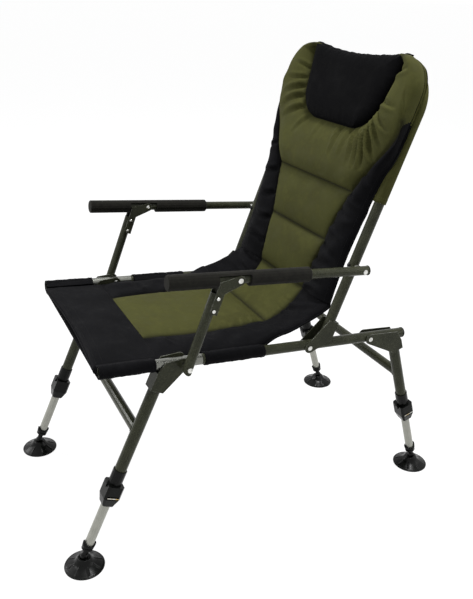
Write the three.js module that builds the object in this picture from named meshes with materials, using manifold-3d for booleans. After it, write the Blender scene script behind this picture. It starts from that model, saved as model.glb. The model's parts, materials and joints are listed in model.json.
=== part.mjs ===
// Folding padded chair: +Z up, the sitter faces -Y, +X is the sitter's left.
// The origin is on the floor under the middle of the four feet. Millimetres.
import * as THREE from "three";
import { mergeVertices } from "three/addons/utils/BufferGeometryUtils.js";
import Module from "manifold-3d";

const wasm = await Module();
wasm.setup();

// General fits
const fit = 0.3;
const softFit = 0.5;
const overrun = 40;
const weldTolerance = 1e-4;

// Seat rails
const railRadius = 12.5;
const railWall = 1.5;
const railSpacing = 500;
const railTilt = THREE.MathUtils.degToRad(4.3);
const railHeight = 489.7;
const railFront = 185.5;
const railRear = 611;
const capFlange = 3.5;
const capLip = 0.8;
const capStem = 16;

// Pins through the rails
const pinRadius = 3;
const pinHeadRadius = 6;
const pinHead = 2.2;
const spacerRadius = 6.5;
const frontPinRise = 3;
const backPinPlace = 324.9;
const backPinDrop = 2;
const rearPinInset = 108;

// Leg frames
const legRadius = 14;
const legWall = 1.5;
const crossbarRadius = 12.5;
const frontLean = THREE.MathUtils.degToRad(24.05);
const rearLean = THREE.MathUtils.degToRad(17.7);
const frontSetback = 35.2;
const rearSetback = 72.8;
const frontCrossbarDrop = 185;
const rearCrossbarDrop = 159;
const legTopGap = 3;
const stopGap = 0.6;
const tubeFoot = 186;

// Bent sheet gussets and brackets
const sheet = 2.5;
const earRadius = 13;
const earRise = 11;
const earCorner = 8.5;
const frontGussetDrop = 78;
const rearGussetDrop = 76;
const backBracketTop = 77;
const strutBracketFoot = 133;
const strutBracketWebTop = 172;
const strutBracketTop = 205;
const strutBracketRound = 8;
const strutBracketNeck = 183;
const bracketRivetSetback = 3;
const strutPinEyeRadius = 11;
const bracketRivetPlaces = [141, 170];
const bracketRivetHead = 4.2;
const bracketRivetRise = 1.6;

// Telescopic legs and feet
const innerRadius = 11;
const innerWall = 1.5;
const innerLength = 306;
const ballHeight = 30;
const ballRadius = 9;
const neckRadius = 6.5;
const cupRadius = 13.6;
const cupGap = 0.4;
const cupFloor = 24;
const cupTop = 33;
const cupBase = 19.5;
const footRadius = 47;
const footRim = 3.5;
const footShoulder = 8;
const footShoulderRadius = 38;
const hubBaseRadius = 24;
const hubBase = 14;
const hubTopRadius = 15;
const hubTopDrop = 4;
const socketFit = 0.8;

// Leg collars with their tilting lock plates
const collarLap = 50;
const collarBoxHeight = 34;
const collarTaper = 20;
const collarBelow = 40;
const collarSleeveWall = 2;
const collarHalfWidth = 21;
const collarHalfDepth = 19.5;
const collarFootShare = 0.7;
const collarCut = 5;
const collarLug = 3;
const collarLugHeight = 8;
const collarLugHalf = 6;
const plateThickness = 2;
const plateHalfWidth = 14;
const plateHinge = 14.5;
const plateTab = 22.5;
const plateLift = 26;
const plateHoleFit = 0.6;
const plateSlack = 2.8;

// Back frame and hood
const backLean = THREE.MathUtils.degToRad(20.85);
const backSetback = 37.5;
const backTubeFoot = 31.4;
const backTop = 680;
const backBracketFront = 25;
const backCorner = 92;
const cloth = 2.2;
const hoodFoot = 375;

// Arms
const armRadius = 11;
const armWall = 1.5;
const armStandoff = 37.5;
const armPinRise = 218.8;
const armTail = 13;
const plugFlange = 1.6;
const plugLip = 0.8;
const plugStem = 8;
const gripRadius = 17;
const gripFront = 161;
const gripRear = 177.5;
const gripEnd = 4;
const gripRound = 2;
const gripNotchFront = 50;
const gripNotchRear = 26;
const gripNotchTop = 12;
const strutLean = THREE.MathUtils.degToRad(20.3);
const strutTop = 178;
const strutFoot = 14;

// Cloth sleeves on the rails, along the rails from the front pin
const sleeveFront = 188;
const frontSleeveRear = 63.5;
const midSleeveFront = 53;
const slingRailGap = 22;
const midSleeveRear = 204;

// Seat, fold and back cushions
const seatFront = 190;
const seatHollow = 9;
const seatRear = 262;
const seatRailGap = 20.5;
const seatEdgeTop = 6;
const seatCrown = 8;
const seatSeam = 110;
const seatSeamRear = 35;
const seatSeamRun = 20;
const seatLift = 30;
const seatLiftFrom = 190;
const seamDepth = 3.5;
const seamSpread = 9;
const foldThickness = 16;
const foldReach = 84;
const foldEdgeReach = 60;
const foldEdgeRise = 46;
const foldSeam = 120;
const backChannels = [107, 242, 375, 702];
const backLevels = [8, 12, 20, 46];
const backPuffs = [14, 14, 26];
const backEdge = 8;
const backHeadEdge = 26;
const backTopSag = 15;
const backBehind = 5;
const backRailGap = 20;
const backOverhang = 20;
const backTurnFoot = 318;
const backTurnHead = 362;
const backWidenHead = 530;
const backSeam = 133;
const backRound = 86;
const pillowFoot = 519;
const pillowTop = 706;
const pillowTopHalf = 176;
const pillowFootHalf = 154;
const pillowBase = 24;
const pillowEdge = 8;
const pillowRise = 20;
const pillowCorner = 52;
const pocketFlare = 30;
const pocketRise = 48;

// How a padded piece falls off towards its rim, as shares of its half width
const rimShares = [0, 0.22, 0.44, 0.64, 0.8, 0.92, 1];
const seatShares = [0, 0.03, 0.08, 0.17, 0.27, 0.36, 0.45, 0.55, 0.65, 0.75, 0.85, 0.93, 0.98, 1];
const channelShares = [0, 0.12, 0.32, 0.5, 0.68, 0.88, 1];
const topShares = [0.94, 0.98];
const pillowShares = [0, 0.05, 0.13, 0.27, 0.45, 0.63, 0.8, 0.92, 1];
const rimPower = 4;
const backRimPower = 8;
const puffPower = 0.7;
const halfShare = 0.5;

// Facet counts
const tubeSides = 16;
const pinSides = 10;
const footSides = 18;
const bendSteps = 6;
const ballSteps = 4;

const looks = {
  paint: { color: 0x3c3d38, roughness: 0.45, metalness: 0.6 },
  bright: { color: 0xa9aaa2, roughness: 0.32, metalness: 0.85 },
  rivet: { color: 0xc4c4c0, roughness: 0.25, metalness: 0.95 },
  plastic: { color: 0x141414, roughness: 0.4, metalness: 0 },
  foam: { color: 0x22211f, roughness: 0.85, metalness: 0 },
  green: { color: 0x4c4d2a, roughness: 0.8, metalness: 0 },
  black: { color: 0x17171a, roughness: 0.8, metalness: 0 },
};

const railX = railSpacing / 2;
const armX = railX + armStandoff;
const rearPinPlace = railRear - rearPinInset;
const slingHalfWidth = railX - slingRailGap;
const seatHalfWidth = railX - seatRailGap;
const backNarrowHalf = railX - backRailGap;
const backWideHalf = railX + backOverhang;
const tinyShare = 1e-3;

// Solids
function plain(geometry) {
  const copy = geometry.clone();
  copy.deleteAttribute("normal");
  copy.deleteAttribute("uv");
  const merged = mergeVertices(copy, weldTolerance);
  const order = merged.index.array;
  const kept = [];
  for (let i = 0; i < order.length; i += 3) {
    const [a, b, c] = order.slice(i, i + 3);
    if (a !== b && b !== c && c !== a) kept.push(a, b, c);
  }
  merged.setIndex(kept);
  return merged;
}

function volumeOf(geometry) {
  const spots = geometry.attributes.position;
  const order = geometry.index.array;
  const corners = [new THREE.Vector3(), new THREE.Vector3(), new THREE.Vector3()];
  let sum = 0;
  for (let i = 0; i < order.length; i += 3) {
    corners.forEach((corner, k) => corner.fromBufferAttribute(spots, order[i + k]));
    sum += corners[0].dot(corners[1].clone().cross(corners[2]));
  }
  return sum;
}

function solid(geometry) {
  const body = plain(geometry);
  const order = Uint32Array.from(body.index.array);
  if (volumeOf(body) < 0) order.reverse();
  return new wasm.Manifold(new wasm.Mesh({
    numProp: 3,
    vertProperties: Float32Array.from(body.attributes.position.array),
    triVerts: order,
  }));
}

function geometryOf(body) {
  const parts = body.getMesh();
  const geometry = new THREE.BufferGeometry();
  geometry.setAttribute("position", new THREE.BufferAttribute(parts.vertProperties, parts.numProp));
  geometry.setIndex(new THREE.BufferAttribute(parts.triVerts, 1));
  return geometry;
}

const shift = (body, x) => geometryOf(body).translate(x, 0, 0);

function join(first, ...others) {
  return others.reduce((sum, other) => sum.add(solid(other)), solid(first));
}

function cut(body, ...tools) {
  return tools.reduce((rest, tool) => rest.subtract(solid(tool)), body);
}

function shapeOf(points) {
  return new THREE.Shape(points.map(([a, b]) => new THREE.Vector2(a, b)));
}

// The outline stretched round points and round [a, b, radius] circles
function hull(points, circles) {
  const all = [...points];
  for (const [a, b, radius] of circles) {
    for (let i = 0; i < footSides; i += 1) {
      const turn = Math.PI * 2 * i / footSides;
      all.push([a + radius * Math.cos(turn), b + radius * Math.sin(turn)]);
    }
  }
  all.sort((p, q) => p[0] - q[0] || p[1] - q[1]);
  const bends = (p, q, r) => (q[0] - p[0]) * (r[1] - p[1]) - (q[1] - p[1]) * (r[0] - p[0]) > 0;
  const half = (list) => {
    const kept = [];
    for (const point of list) {
      while (kept.length > 1 && !bends(kept[kept.length - 2], kept[kept.length - 1], point)) kept.pop();
      kept.push(point);
    }
    return kept.slice(0, -1);
  };
  return [...half(all), ...half(all.reverse())];
}

// A side-view outline in (y, z), as thick as the two x places are apart
function sideSlab(shape, fromX, toX) {
  const slab = new THREE.ExtrudeGeometry(shape, { depth: toX - fromX, bevelEnabled: false });
  const turn = new THREE.Matrix4().makeBasis(
    new THREE.Vector3(0, 1, 0),
    new THREE.Vector3(0, 0, 1),
    new THREE.Vector3(1, 0, 0),
  );
  return slab.applyMatrix4(turn).translate(fromX, 0, 0);
}

function rodX(radius, fromX, toX, y, z, sides = pinSides) {
  const rod = new THREE.CylinderGeometry(radius, radius, toX - fromX, sides);
  return rod.rotateZ(-Math.PI / 2).translate((fromX + toX) / 2, y, z);
}

function latheZ(points, sides) {
  const profile = points.map(([r, z]) => new THREE.Vector2(r, z));
  return new THREE.LatheGeometry(profile, sides).rotateX(Math.PI / 2);
}

function tubeZ(radius, bore, fromZ, toZ, sides = tubeSides) {
  return latheZ([[bore, fromZ], [radius, fromZ], [radius, toZ], [bore, toZ], [bore, fromZ]], sides);
}

function rodZ(radius, fromZ, toZ, sides = tubeSides) {
  return latheZ([[0, fromZ], [radius, fromZ], [radius, toZ], [0, toZ]], sides);
}

// An upright block with cut corners, its lower end narrowed to a share of the upper
function prismZ(halfX, halfY, fromZ, toZ, footShare) {
  const corners = [[1, 1], [-1, 1], [-1, -1], [1, -1]].flatMap(([a, b]) => {
    const side = [a * halfX, b * (halfY - collarCut)];
    const face = [a * (halfX - collarCut), b * halfY];
    return a * b > 0 ? [side, face] : [face, side];
  });
  const block = new THREE.ExtrudeGeometry(shapeOf(corners), { depth: toZ - fromZ, bevelEnabled: false });
  const spots = block.attributes.position;
  for (let i = 0; i < spots.count; i += 1) {
    const share = spots.getZ(i) > 0 ? 1 : footShare;
    spots.setXYZ(i, spots.getX(i) * share, spots.getY(i) * share, spots.getZ(i) + fromZ);
  }
  return block;
}

const alongY = (geometry) => geometry.rotateX(-Math.PI / 2);

// A pin along X: steps are [x, radius] pairs, outward from the middle of the chair
function pinX(steps, y, z) {
  const points = [[0, steps[0][0]]];
  steps.forEach(([x, radius]) => points.push([radius, x]));
  points.push([0, steps[steps.length - 1][0]]);
  const profile = points.map(([r, x]) => new THREE.Vector2(r, x));
  return new THREE.LatheGeometry(profile, pinSides).rotateZ(-Math.PI / 2).translate(0, y, z);
}

function pinSteps(from, to, spacer = null) {
  const steps = [
    [from - pinHead, pinHeadRadius / 2],
    [from - pinHead / 2, pinHeadRadius],
    [from, pinHeadRadius],
    [from, pinRadius],
  ];
  if (spacer) {
    steps.push([spacer[0], pinRadius], [spacer[0], spacerRadius]);
    steps.push([spacer[1], spacerRadius], [spacer[1], pinRadius]);
  }
  steps.push([to, pinRadius], [to, pinHeadRadius]);
  steps.push([to + pinHead / 2, pinHeadRadius], [to + pinHead, pinHeadRadius / 2]);
  return steps;
}

const pinHole = pinRadius + fit;

// A run of straight and bent tube through given places, one ring at each
class Run extends THREE.Curve {
  constructor(places) {
    super();
    this.places = places;
  }

  getPoint(t, target = new THREE.Vector3()) {
    const last = this.places.length - 1;
    const step = Math.min(Math.floor(t * last + tinyShare), last - 1);
    return target.lerpVectors(this.places[step], this.places[step + 1], t * last - step);
  }

  getPointAt(u, target) {
    return this.getPoint(u, target);
  }

  getTangentAt(u, target = new THREE.Vector3()) {
    const last = this.places.length - 1;
    const step = Math.round(u * last);
    const ahead = this.places[Math.min(step + 1, last)].clone().sub(this.places[step]).normalize();
    const behind = this.places[step].clone().sub(this.places[Math.max(step - 1, 0)]).normalize();
    return target.copy(ahead).add(behind).normalize();
  }
}

function runTube(places, radius, bore, sides) {
  const section = new THREE.Shape().absarc(0, 0, radius, 0, Math.PI * 2);
  if (bore > 0) section.holes.push(new THREE.Path().absarc(0, 0, bore, 0, Math.PI * 2, true));
  return new THREE.ExtrudeGeometry(section, {
    steps: places.length - 1,
    curveSegments: sides / 2,
    extrudePath: new Run(places),
  });
}

const root = new THREE.Group();

function put(parent, name, body, look) {
  let geometry = null;
  if (body.isBufferGeometry) {
    geometry = plain(body);
    if (volumeOf(geometry) < 0) geometry.setIndex(Array.from(geometry.index.array).reverse());
  } else {
    geometry = geometryOf(body);
  }
  geometry.computeVertexNormals();
  const mesh = new THREE.Mesh(geometry, new THREE.MeshStandardMaterial(look));
  mesh.name = name;
  parent.add(mesh);
}

function frameAt(parent, y, z, turn) {
  const group = new THREE.Group();
  group.position.set(0, y, z);
  group.rotation.x = turn;
  parent.add(group);
  return group;
}

const turned = (y, z, turn) => [
  y * Math.cos(turn) - z * Math.sin(turn),
  y * Math.sin(turn) + z * Math.cos(turn),
];

const sides = [["left", 1], ["right", -1]];

// Places of the pins and feet in the side view, from the front pin's place on the rail
const seatTurn = -railTilt;
const pinAt = {
  front: turned(0, frontPinRise, seatTurn),
  back: turned(backPinPlace, -backPinDrop, seatTurn),
  rear: turned(rearPinPlace, 0, seatTurn),
};
const legs = {
  front: { pin: pinAt.front, turn: -frontLean, axis: -frontSetback, pinRise: frontPinRise },
  rear: { pin: pinAt.rear, turn: rearLean, axis: rearSetback, pinRise: 0 },
};
for (const leg of Object.values(legs)) {
  const fall = railHeight + leg.pin[1] - ballHeight + leg.axis * Math.sin(leg.turn);
  leg.ball = -fall / Math.cos(leg.turn);
  leg.foot = leg.pin[0] + turned(leg.axis, leg.ball, leg.turn)[0];
}
const middle = (legs.front.foot + legs.rear.foot) / 2;
const seat = frameAt(root, -middle, railHeight, seatTurn);
const pinFrame = (pin, turn) => frameAt(root, pin[0] - middle, railHeight + pin[1], turn);

// Rails with their caps and pins
const earGap = legRadius + fit;
const earOut = earGap + sheet;
const backEarGap = railRadius + fit;
const backEarOut = backEarGap + sheet;
const bore = railRadius - railWall;
const strutIn = armX - armRadius;
const strutOut = armX + armRadius;
for (const [side, sign] of sides) {
  const x = sign * railX;
  const holes = [[0, frontPinRise], [backPinPlace, -backPinDrop], [rearPinPlace, 0]]
    .map(([y, z]) => rodX(pinHole, x - railRadius - fit, x + railRadius + fit, y, z));
  const rail = alongY(tubeZ(railRadius, bore, -railFront, railRear)).translate(x, 0, 0);
  put(seat, `rail_${side}`, cut(solid(rail), ...holes), looks.paint);
  const cap = latheZ([
    [0, railRear + fit + capFlange],
    [railRadius - capLip, railRear + fit + capFlange],
    [railRadius + capLip, railRear + fit + capFlange - capLip],
    [railRadius + capLip, railRear + fit],
    [bore - fit, railRear + fit],
    [bore - fit, railRear - capStem],
    [0, railRear - capStem],
  ], tubeSides);
  put(seat, `rail_cap_${side}`, alongY(cap).translate(x, 0, 0), looks.plastic);
}

// Pins through the rails: the front one also carries the strut, behind a spacer
const frontPin = pinSteps(railX - earOut - fit, strutOut + fit, [railX + earOut + fit, strutIn - fit]);
const backPin = pinSteps(railX - backEarOut - fit, railX + backEarOut + fit);
const rearPin = pinSteps(railX - earOut - fit, railX + earOut + fit);
for (const [side, sign] of sides) {
  const flip = (geometry) => geometry.scale(sign, 1, 1);
  put(seat, `front_pin_${side}`, flip(pinX(frontPin, 0, frontPinRise)), looks.rivet);
  put(seat, `back_pin_${side}`, flip(pinX(backPin, backPinPlace, -backPinDrop)), looks.rivet);
  put(seat, `rear_pin_${side}`, flip(pinX(rearPin, rearPinPlace, 0)), looks.rivet);
}

// A sheet channel: two equal ears and the web that joins them
function channel(x, inner, earShapes, webShape, holes) {
  let body = null;
  for (const earSide of [-inner - sheet, inner]) {
    for (const shape of earShapes) {
      const ear = solid(sideSlab(shape, x + earSide, x + earSide + sheet));
      body = body ? body.add(ear) : ear;
    }
  }
  body = body.add(solid(sideSlab(webShape, x - inner - sheet, x + inner + sheet)));
  return cut(body, ...holes.map(([y, z]) => rodX(pinHole, x - overrun, x + overrun, y, z)));
}

// Leg frames, gussets, collars, lock plates, inner legs and feet
const legBore = legRadius - legWall;
const legCases = [
  ["front", legs.front, 1, frontGussetDrop, frontCrossbarDrop],
  ["rear", legs.rear, -1, rearGussetDrop, rearCrossbarDrop],
];
for (const [end, leg, facing, gussetDrop, crossbarDrop] of legCases) {
  const frame = frameAt(root, leg.foot - middle, ballHeight, leg.turn);
  const hinge = [-facing * leg.axis, -leg.ball];
  const slope = facing * (seatTurn - leg.turn);
  const railAt = (p) => hinge[1] - leg.pinRise / Math.cos(slope) + (p - hinge[0]) * Math.tan(slope);
  const under = (p, gap) => railAt(p) - (railRadius + gap) / Math.cos(slope);
  const place = (points) => shapeOf(points.map(([p, z]) => [facing * p, z]));
  const legTop = under(-legRadius, legTopGap);
  const crossbar = hinge[1] - crossbarDrop;
  const crossBore = crossbarRadius - legWall;
  const frameBody = join(
    rodX(crossbarRadius, -railX, railX, 0, crossbar, tubeSides),
    ...sides.map(([, sign]) => rodZ(legRadius, tubeFoot, legTop).translate(sign * railX, 0, 0)),
  );
  put(frame, `${end}_leg_frame`, cut(
    frameBody,
    rodX(crossBore, -railX, railX, 0, crossbar, tubeSides),
    ...sides.map(([, sign]) => rodZ(legBore, -overrun, legTop + overrun).translate(sign * railX, 0, 0)),
  ), looks.paint);
  const gussetFoot = hinge[1] - gussetDrop;
  const ear = place(hull(
    [
      [-earOut, gussetFoot],
      [-earOut, under(-earOut, stopGap)],
      [-earCorner, railAt(-earCorner) + earRise / Math.cos(slope)],
      [earGap, gussetFoot],
    ],
    [[hinge[0], hinge[1], earRadius]],
  ));
  const web = place([
    [-earOut, gussetFoot],
    [-earOut, under(-earOut, stopGap)],
    [-earGap, under(-earOut, stopGap)],
    [-earGap, gussetFoot],
  ]);
  for (const [side, sign] of sides) {
    const x = sign * railX;
    const gusset = channel(x, earGap, [ear], web, [[facing * hinge[0], hinge[1]]]);
    put(frame, `${end}_gusset_${side}`, gusset, looks.paint);

    const collarFoot = tubeFoot - collarBelow;
    const boxFoot = collarFoot + collarTaper;
    const boxTop = boxFoot + collarBoxHeight;
    const plateAt = collarFoot + plateLift;
    const slotHalf = plateThickness / 2 + plateSlack;
    const slotIn = plateHinge + fit;
    const slot = new THREE.BoxGeometry(slotIn + overrun, 2 * (plateHalfWidth + fit), 2 * slotHalf)
      .translate(sign * (overrun - slotIn) / 2, 0, plateAt);
    const lug = new THREE.BoxGeometry(2 * collarLugHalf, collarHalfDepth, collarLugHeight)
      .translate(0, -collarHalfDepth / 2 - collarLug, boxTop - collarLugHeight / 2);
    const collar = join(
      prismZ(collarHalfWidth, collarHalfDepth, boxFoot, boxTop, 1),
      prismZ(collarHalfWidth, collarHalfDepth, collarFoot, boxFoot, collarFootShare),
      rodZ(legRadius + fit + collarSleeveWall, boxFoot, tubeFoot + collarLap),
      lug,
    );
    const collarBody = cut(
      collar,
      rodZ(legRadius + fit, tubeFoot - fit, tubeFoot + collarLap + overrun),
      rodZ(innerRadius + fit, -overrun, tubeFoot + fit),
      slot,
    );
    put(frame, `${end}_collar_${side}`, shift(collarBody, x), looks.plastic);
    const plateSpan = plateHinge + plateTab;
    const plate = new THREE.BoxGeometry(plateSpan, 2 * plateHalfWidth, plateThickness)
      .translate(x + sign * (plateTab - plateHinge) / 2, 0, plateAt);
    const plateHole = rodZ(innerRadius + plateHoleFit, plateAt - overrun, plateAt + overrun);
    put(frame, `${end}_lock_plate_${side}`, cut(solid(plate), plateHole.translate(x, 0, 0)), looks.rivet);

    const inner = tubeZ(innerRadius, innerRadius - innerWall, cupFloor + fit, cupFloor + innerLength);
    put(frame, `${end}_inner_leg_${side}`, inner.translate(x, 0, 0), looks.bright);
    const ankle = [[0, -ballRadius]];
    const neckTurn = Math.asin(neckRadius / ballRadius);
    for (let step = 1; step <= ballSteps; step += 1) {
      const turn = (Math.PI - neckTurn) * step / ballSteps;
      ankle.push([ballRadius * Math.sin(turn), -ballRadius * Math.cos(turn)]);
    }
    ankle.push(
      [neckRadius, cupBase],
      [cupRadius, cupBase],
      [cupRadius, cupTop],
      [innerRadius + cupGap, cupTop],
      [innerRadius + cupGap, cupFloor],
      [0, cupFloor],
    );
    put(frame, `${end}_ankle_${side}`, latheZ(ankle, tubeSides).translate(x, 0, 0), looks.plastic);
    const footPlace = frameAt(root, leg.foot - middle, 0, 0);
    const socketRadius = ballRadius + socketFit;
    const foot = [
      [0, 0],
      [footRadius, 0],
      [footRadius, footRim],
      [footShoulderRadius, footShoulder],
      [hubBaseRadius, hubBase],
      [hubTopRadius, ballHeight - hubTopDrop],
    ];
    const rimTurn = Math.acos(-hubTopDrop / socketRadius);
    for (let step = 0; step <= ballSteps; step += 1) {
      const turn = rimTurn + (Math.PI - rimTurn) * step / ballSteps;
      const across = step < ballSteps ? socketRadius * Math.sin(turn) : 0;
      foot.push([across, ballHeight + socketRadius * Math.cos(turn)]);
    }
    put(footPlace, `${end}_foot_${side}`, latheZ(foot, footSides).translate(x, 0, 0), looks.plastic);
  }
}

// Back frame: one tube bent to an inverted U, in channels that hinge on the rails
const back = pinFrame(pinAt.back, -backLean);
function bow(foot, step) {
  const places = [new THREE.Vector3(-railX, backSetback, foot)];
  for (const sign of [-1, 1]) {
    for (let i = 0; i <= step; i += 1) {
      const turn = Math.PI / 2 * (sign < 0 ? step - i : i) / step;
      places.push(new THREE.Vector3(
        sign * (railX - backCorner * (1 - Math.sin(turn))),
        backSetback,
        backTop - backCorner * (1 - Math.cos(turn)),
      ));
    }
  }
  places.push(new THREE.Vector3(railX, backSetback, foot));
  return places;
}
const backHoles = sides.map(([, sign]) => rodX(
  pinHole,
  sign * railX - railRadius - fit,
  sign * railX + railRadius + fit,
  backSetback,
  armPinRise,
));
const bowTube = solid(runTube(bow(backTubeFoot, bendSteps), railRadius, bore, tubeSides));
put(back, "back_frame", cut(bowTube, ...backHoles), looks.paint);
const backBehindEar = backSetback + backEarOut;
const backEar = shapeOf(hull(
  [
    [backBehindEar, backTubeFoot],
    [backBehindEar, backBracketTop],
    [backBracketFront, backBracketTop],
  ],
  [[0, 0, earRadius]],
));
const backWeb = shapeOf([
  [backBehindEar, backTubeFoot],
  [backBehindEar, backBracketTop],
  [backBehindEar - sheet, backBracketTop],
  [backBehindEar - sheet, backTubeFoot],
]);
for (const [side, sign] of sides) {
  const bracket = channel(sign * railX, backEarGap, [backEar], backWeb, [[0, 0]]);
  put(back, `back_bracket_${side}`, bracket, looks.paint);
}

// Hood: cloth sleeves round the upper back frame with the panel between them
const clothIn = railRadius + fit;
const clothOut = clothIn + cloth;
const hoodOutline = shapeOf(bow(hoodFoot, bendSteps).map((spot) => [spot.x, spot.z]));
const hoodPanel = new THREE.ExtrudeGeometry(hoodOutline, { depth: cloth, bevelEnabled: false })
  .rotateX(Math.PI / 2)
  .translate(0, backSetback + clothOut, 0);
put(back, "back_hood", cut(
  join(runTube(bow(hoodFoot, bendSteps), clothOut, 0, tubeSides), hoodPanel),
  runTube(bow(hoodFoot - overrun, bendSteps), clothIn, 0, tubeSides),
), looks.green);

// Arms, hinged on the back frame and on the struts
const armVector = turned(backSetback, armPinRise, -backLean);
const armPinAt = [pinAt.back[0] + armVector[0], pinAt.back[1] + armVector[1]];
const armTurn = Math.atan2(pinAt.back[1] - pinAt.front[1], pinAt.back[0] - pinAt.front[0]);
const armSpan = Math.hypot(pinAt.back[0] - pinAt.front[0], pinAt.back[1] - pinAt.front[1]);
const arm = pinFrame(armPinAt, armTurn);
const armBore = armRadius - armWall;
const armPin = pinSteps(railX - railRadius - fit, strutOut + fit, [railX + railRadius + fit, strutIn - fit]);
const tubeFront = -armSpan - gripFront + gripEnd + fit;
for (const [side, sign] of sides) {
  const x = sign * armX;
  const tube = cut(
    solid(alongY(tubeZ(armRadius, armBore, tubeFront, armTail)).translate(x, 0, 0)),
    rodX(pinHole, x - overrun, x + overrun, 0, 0),
    rodX(pinHole, x - overrun, x + overrun, -armSpan, 0),
  );
  put(arm, `arm_tube_${side}`, tube, looks.paint);
  const plug = latheZ([
    [0, armTail + fit + plugFlange],
    [armRadius - plugLip, armTail + fit + plugFlange],
    [armRadius + plugLip, armTail + fit + plugFlange - plugLip],
    [armRadius + plugLip, armTail + fit],
    [armBore - fit, armTail + fit],
    [armBore - fit, armTail - plugStem],
    [0, armTail - plugStem],
  ], tubeSides);
  put(arm, `arm_plug_${side}`, alongY(plug).translate(x, 0, 0), looks.plastic);
  put(back, `arm_pin_${side}`, pinX(armPin, backSetback, armPinRise).scale(sign, 1, 1), looks.rivet);
  const gripPoints = [
    [0, -armSpan - gripFront],
    [gripRadius - gripRound, -armSpan - gripFront],
    [gripRadius, -armSpan - gripFront + gripRound],
    [gripRadius, -armSpan + gripRear - gripRound],
    [gripRadius - gripRound, -armSpan + gripRear],
    [armRadius + fit, -armSpan + gripRear],
    [armRadius + fit, -armSpan - gripFront + gripEnd],
    [0, -armSpan - gripFront + gripEnd],
  ];
  const notchDepth = gripNotchTop + overrun;
  const notch = new THREE.BoxGeometry(2 * overrun, gripNotchFront + gripNotchRear, notchDepth)
    .translate(x, -armSpan + (gripNotchRear - gripNotchFront) / 2, gripNotchTop - notchDepth / 2);
  const grip = cut(solid(alongY(latheZ(gripPoints, tubeSides)).translate(x, 0, 0)), notch);
  put(arm, `arm_grip_${side}`, grip, looks.foam);
}

// Struts with the bracket that carries the arm
const strut = pinFrame(pinAt.front, -strutLean);
const strutPinAt = turned(...armVector, strutLean);
const bracketIn = armRadius + fit;
const bracketOut = bracketIn + sheet;
const strutBracketEdge = bracketRivetSetback - strutBracketRound;
const strutEars = [
  shapeOf(hull(
    [
      [bracketOut, strutBracketFoot],
      [bracketOut, strutBracketNeck],
      [strutBracketEdge, strutBracketNeck],
    ],
    [[bracketRivetSetback, bracketRivetPlaces[0], strutBracketRound]],
  )),
  shapeOf(hull(
    [
      [bracketOut, strutBracketNeck],
      [strutBracketEdge, strutBracketNeck],
      [strutBracketEdge, strutBracketTop],
    ],
    [[strutPinAt[0], strutPinAt[1], strutPinEyeRadius]],
  )),
];
const strutWeb = shapeOf([
  [bracketIn, strutBracketFoot],
  [bracketOut, strutBracketFoot],
  [bracketOut, strutBracketWebTop],
  [bracketIn, strutBracketWebTop],
]);
const topPin = pinSteps(armX - bracketOut - fit, armX + bracketOut + fit);
for (const [side, sign] of sides) {
  const x = sign * armX;
  const below = new THREE.BoxGeometry(2 * overrun, 2 * overrun, overrun).translate(0, 0, -overrun / 2);
  const corners = cut(solid(below), rodX(strutFoot, -2 * overrun, 2 * overrun, 0, 0, footSides));
  const tube = solid(tubeZ(armRadius, armBore, -strutFoot, strutTop)).subtract(corners)
    .subtract(solid(rodX(pinHole, -overrun, overrun, 0, 0)));
  put(strut, `strut_tube_${side}`, shift(tube, x), looks.paint);
  let bracket = channel(x, bracketIn, strutEars, strutWeb, [strutPinAt]);
  for (const height of bracketRivetPlaces) {
    for (const outward of [-1, 1]) {
      const from = x + outward * bracketOut - bracketRivetRise;
      bracket = bracket.add(solid(
        rodX(bracketRivetHead, from, from + 2 * bracketRivetRise, bracketRivetSetback, height),
      ));
    }
  }
  put(strut, `strut_bracket_${side}`, bracket, looks.paint);
  put(strut, `strut_top_pin_${side}`, pinX(topPin, ...strutPinAt).scale(sign, 1, 1), looks.rivet);
}

// A padded piece: a grid of stations, each with a lower and an upper point
function padded(across, along, place) {
  const block = new THREE.BoxGeometry(1, 1, 1, across.length - 1, along.length - 1, 1);
  const spots = block.attributes.position;
  for (let i = 0; i < spots.count; i += 1) {
    const u = across[Math.round((spots.getX(i) + halfShare) * (across.length - 1))];
    const t = along[Math.round((spots.getY(i) + halfShare) * (along.length - 1))];
    spots.setXYZ(i, ...place(u, t, spots.getZ(i) > 0));
  }
  return block;
}

const mirrored = (list) => [...list.slice(1).map((value) => -value).reverse(), ...list];

// Stations across a piece, close together on both sides of its seam
function stations(half, seam, spread) {
  const kept = rimShares.map((share) => share * half).filter((x) => Math.abs(x - seam) > 2 * spread);
  return mirrored([...kept, seam - spread, seam, seam + spread].sort((a, b) => a - b));
}

const mix = (a, b, t) => a + (b - a) * t;
const smooth = (t) => THREE.MathUtils.smoothstep(t, 0, 1);
const round = (share, power = rimPower) => Math.sqrt(Math.max(0, 1 - Math.abs(share) ** power));
const groove = (away, depth, spread) => depth * Math.max(0, 1 - Math.abs(away) / spread);

// Seat cushion between the rails, lying on its sling
const seatFloor = clothIn - softFit;
const seatHalves = stations(seatHalfWidth, seatSeam, seamSpread);
const seatPad = padded(seatHalves, seatShares, (u, t, top) => {
  const share = u / seatHalfWidth;
  const front = -seatFront + seatHollow * (1 - share * share);
  const y = mix(front, seatRear, t);
  const seamed = smooth((y + seatSeamRear) / seatSeamRun);
  const crown = seatCrown * round(share) * round(2 * t - 1);
  const seam = seamed * groove(Math.abs(u) - seatSeam, seamDepth, seamSpread);
  const lift = seatLift * share ** rimPower * smooth((y - seatLiftFrom) / (seatRear - seatLiftFrom));
  return [u, y, lift + (top ? seatEdgeTop + crown - seam : -seatFloor)];
});
put(seat, "seat_cushion", seatPad, looks.green);

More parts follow.
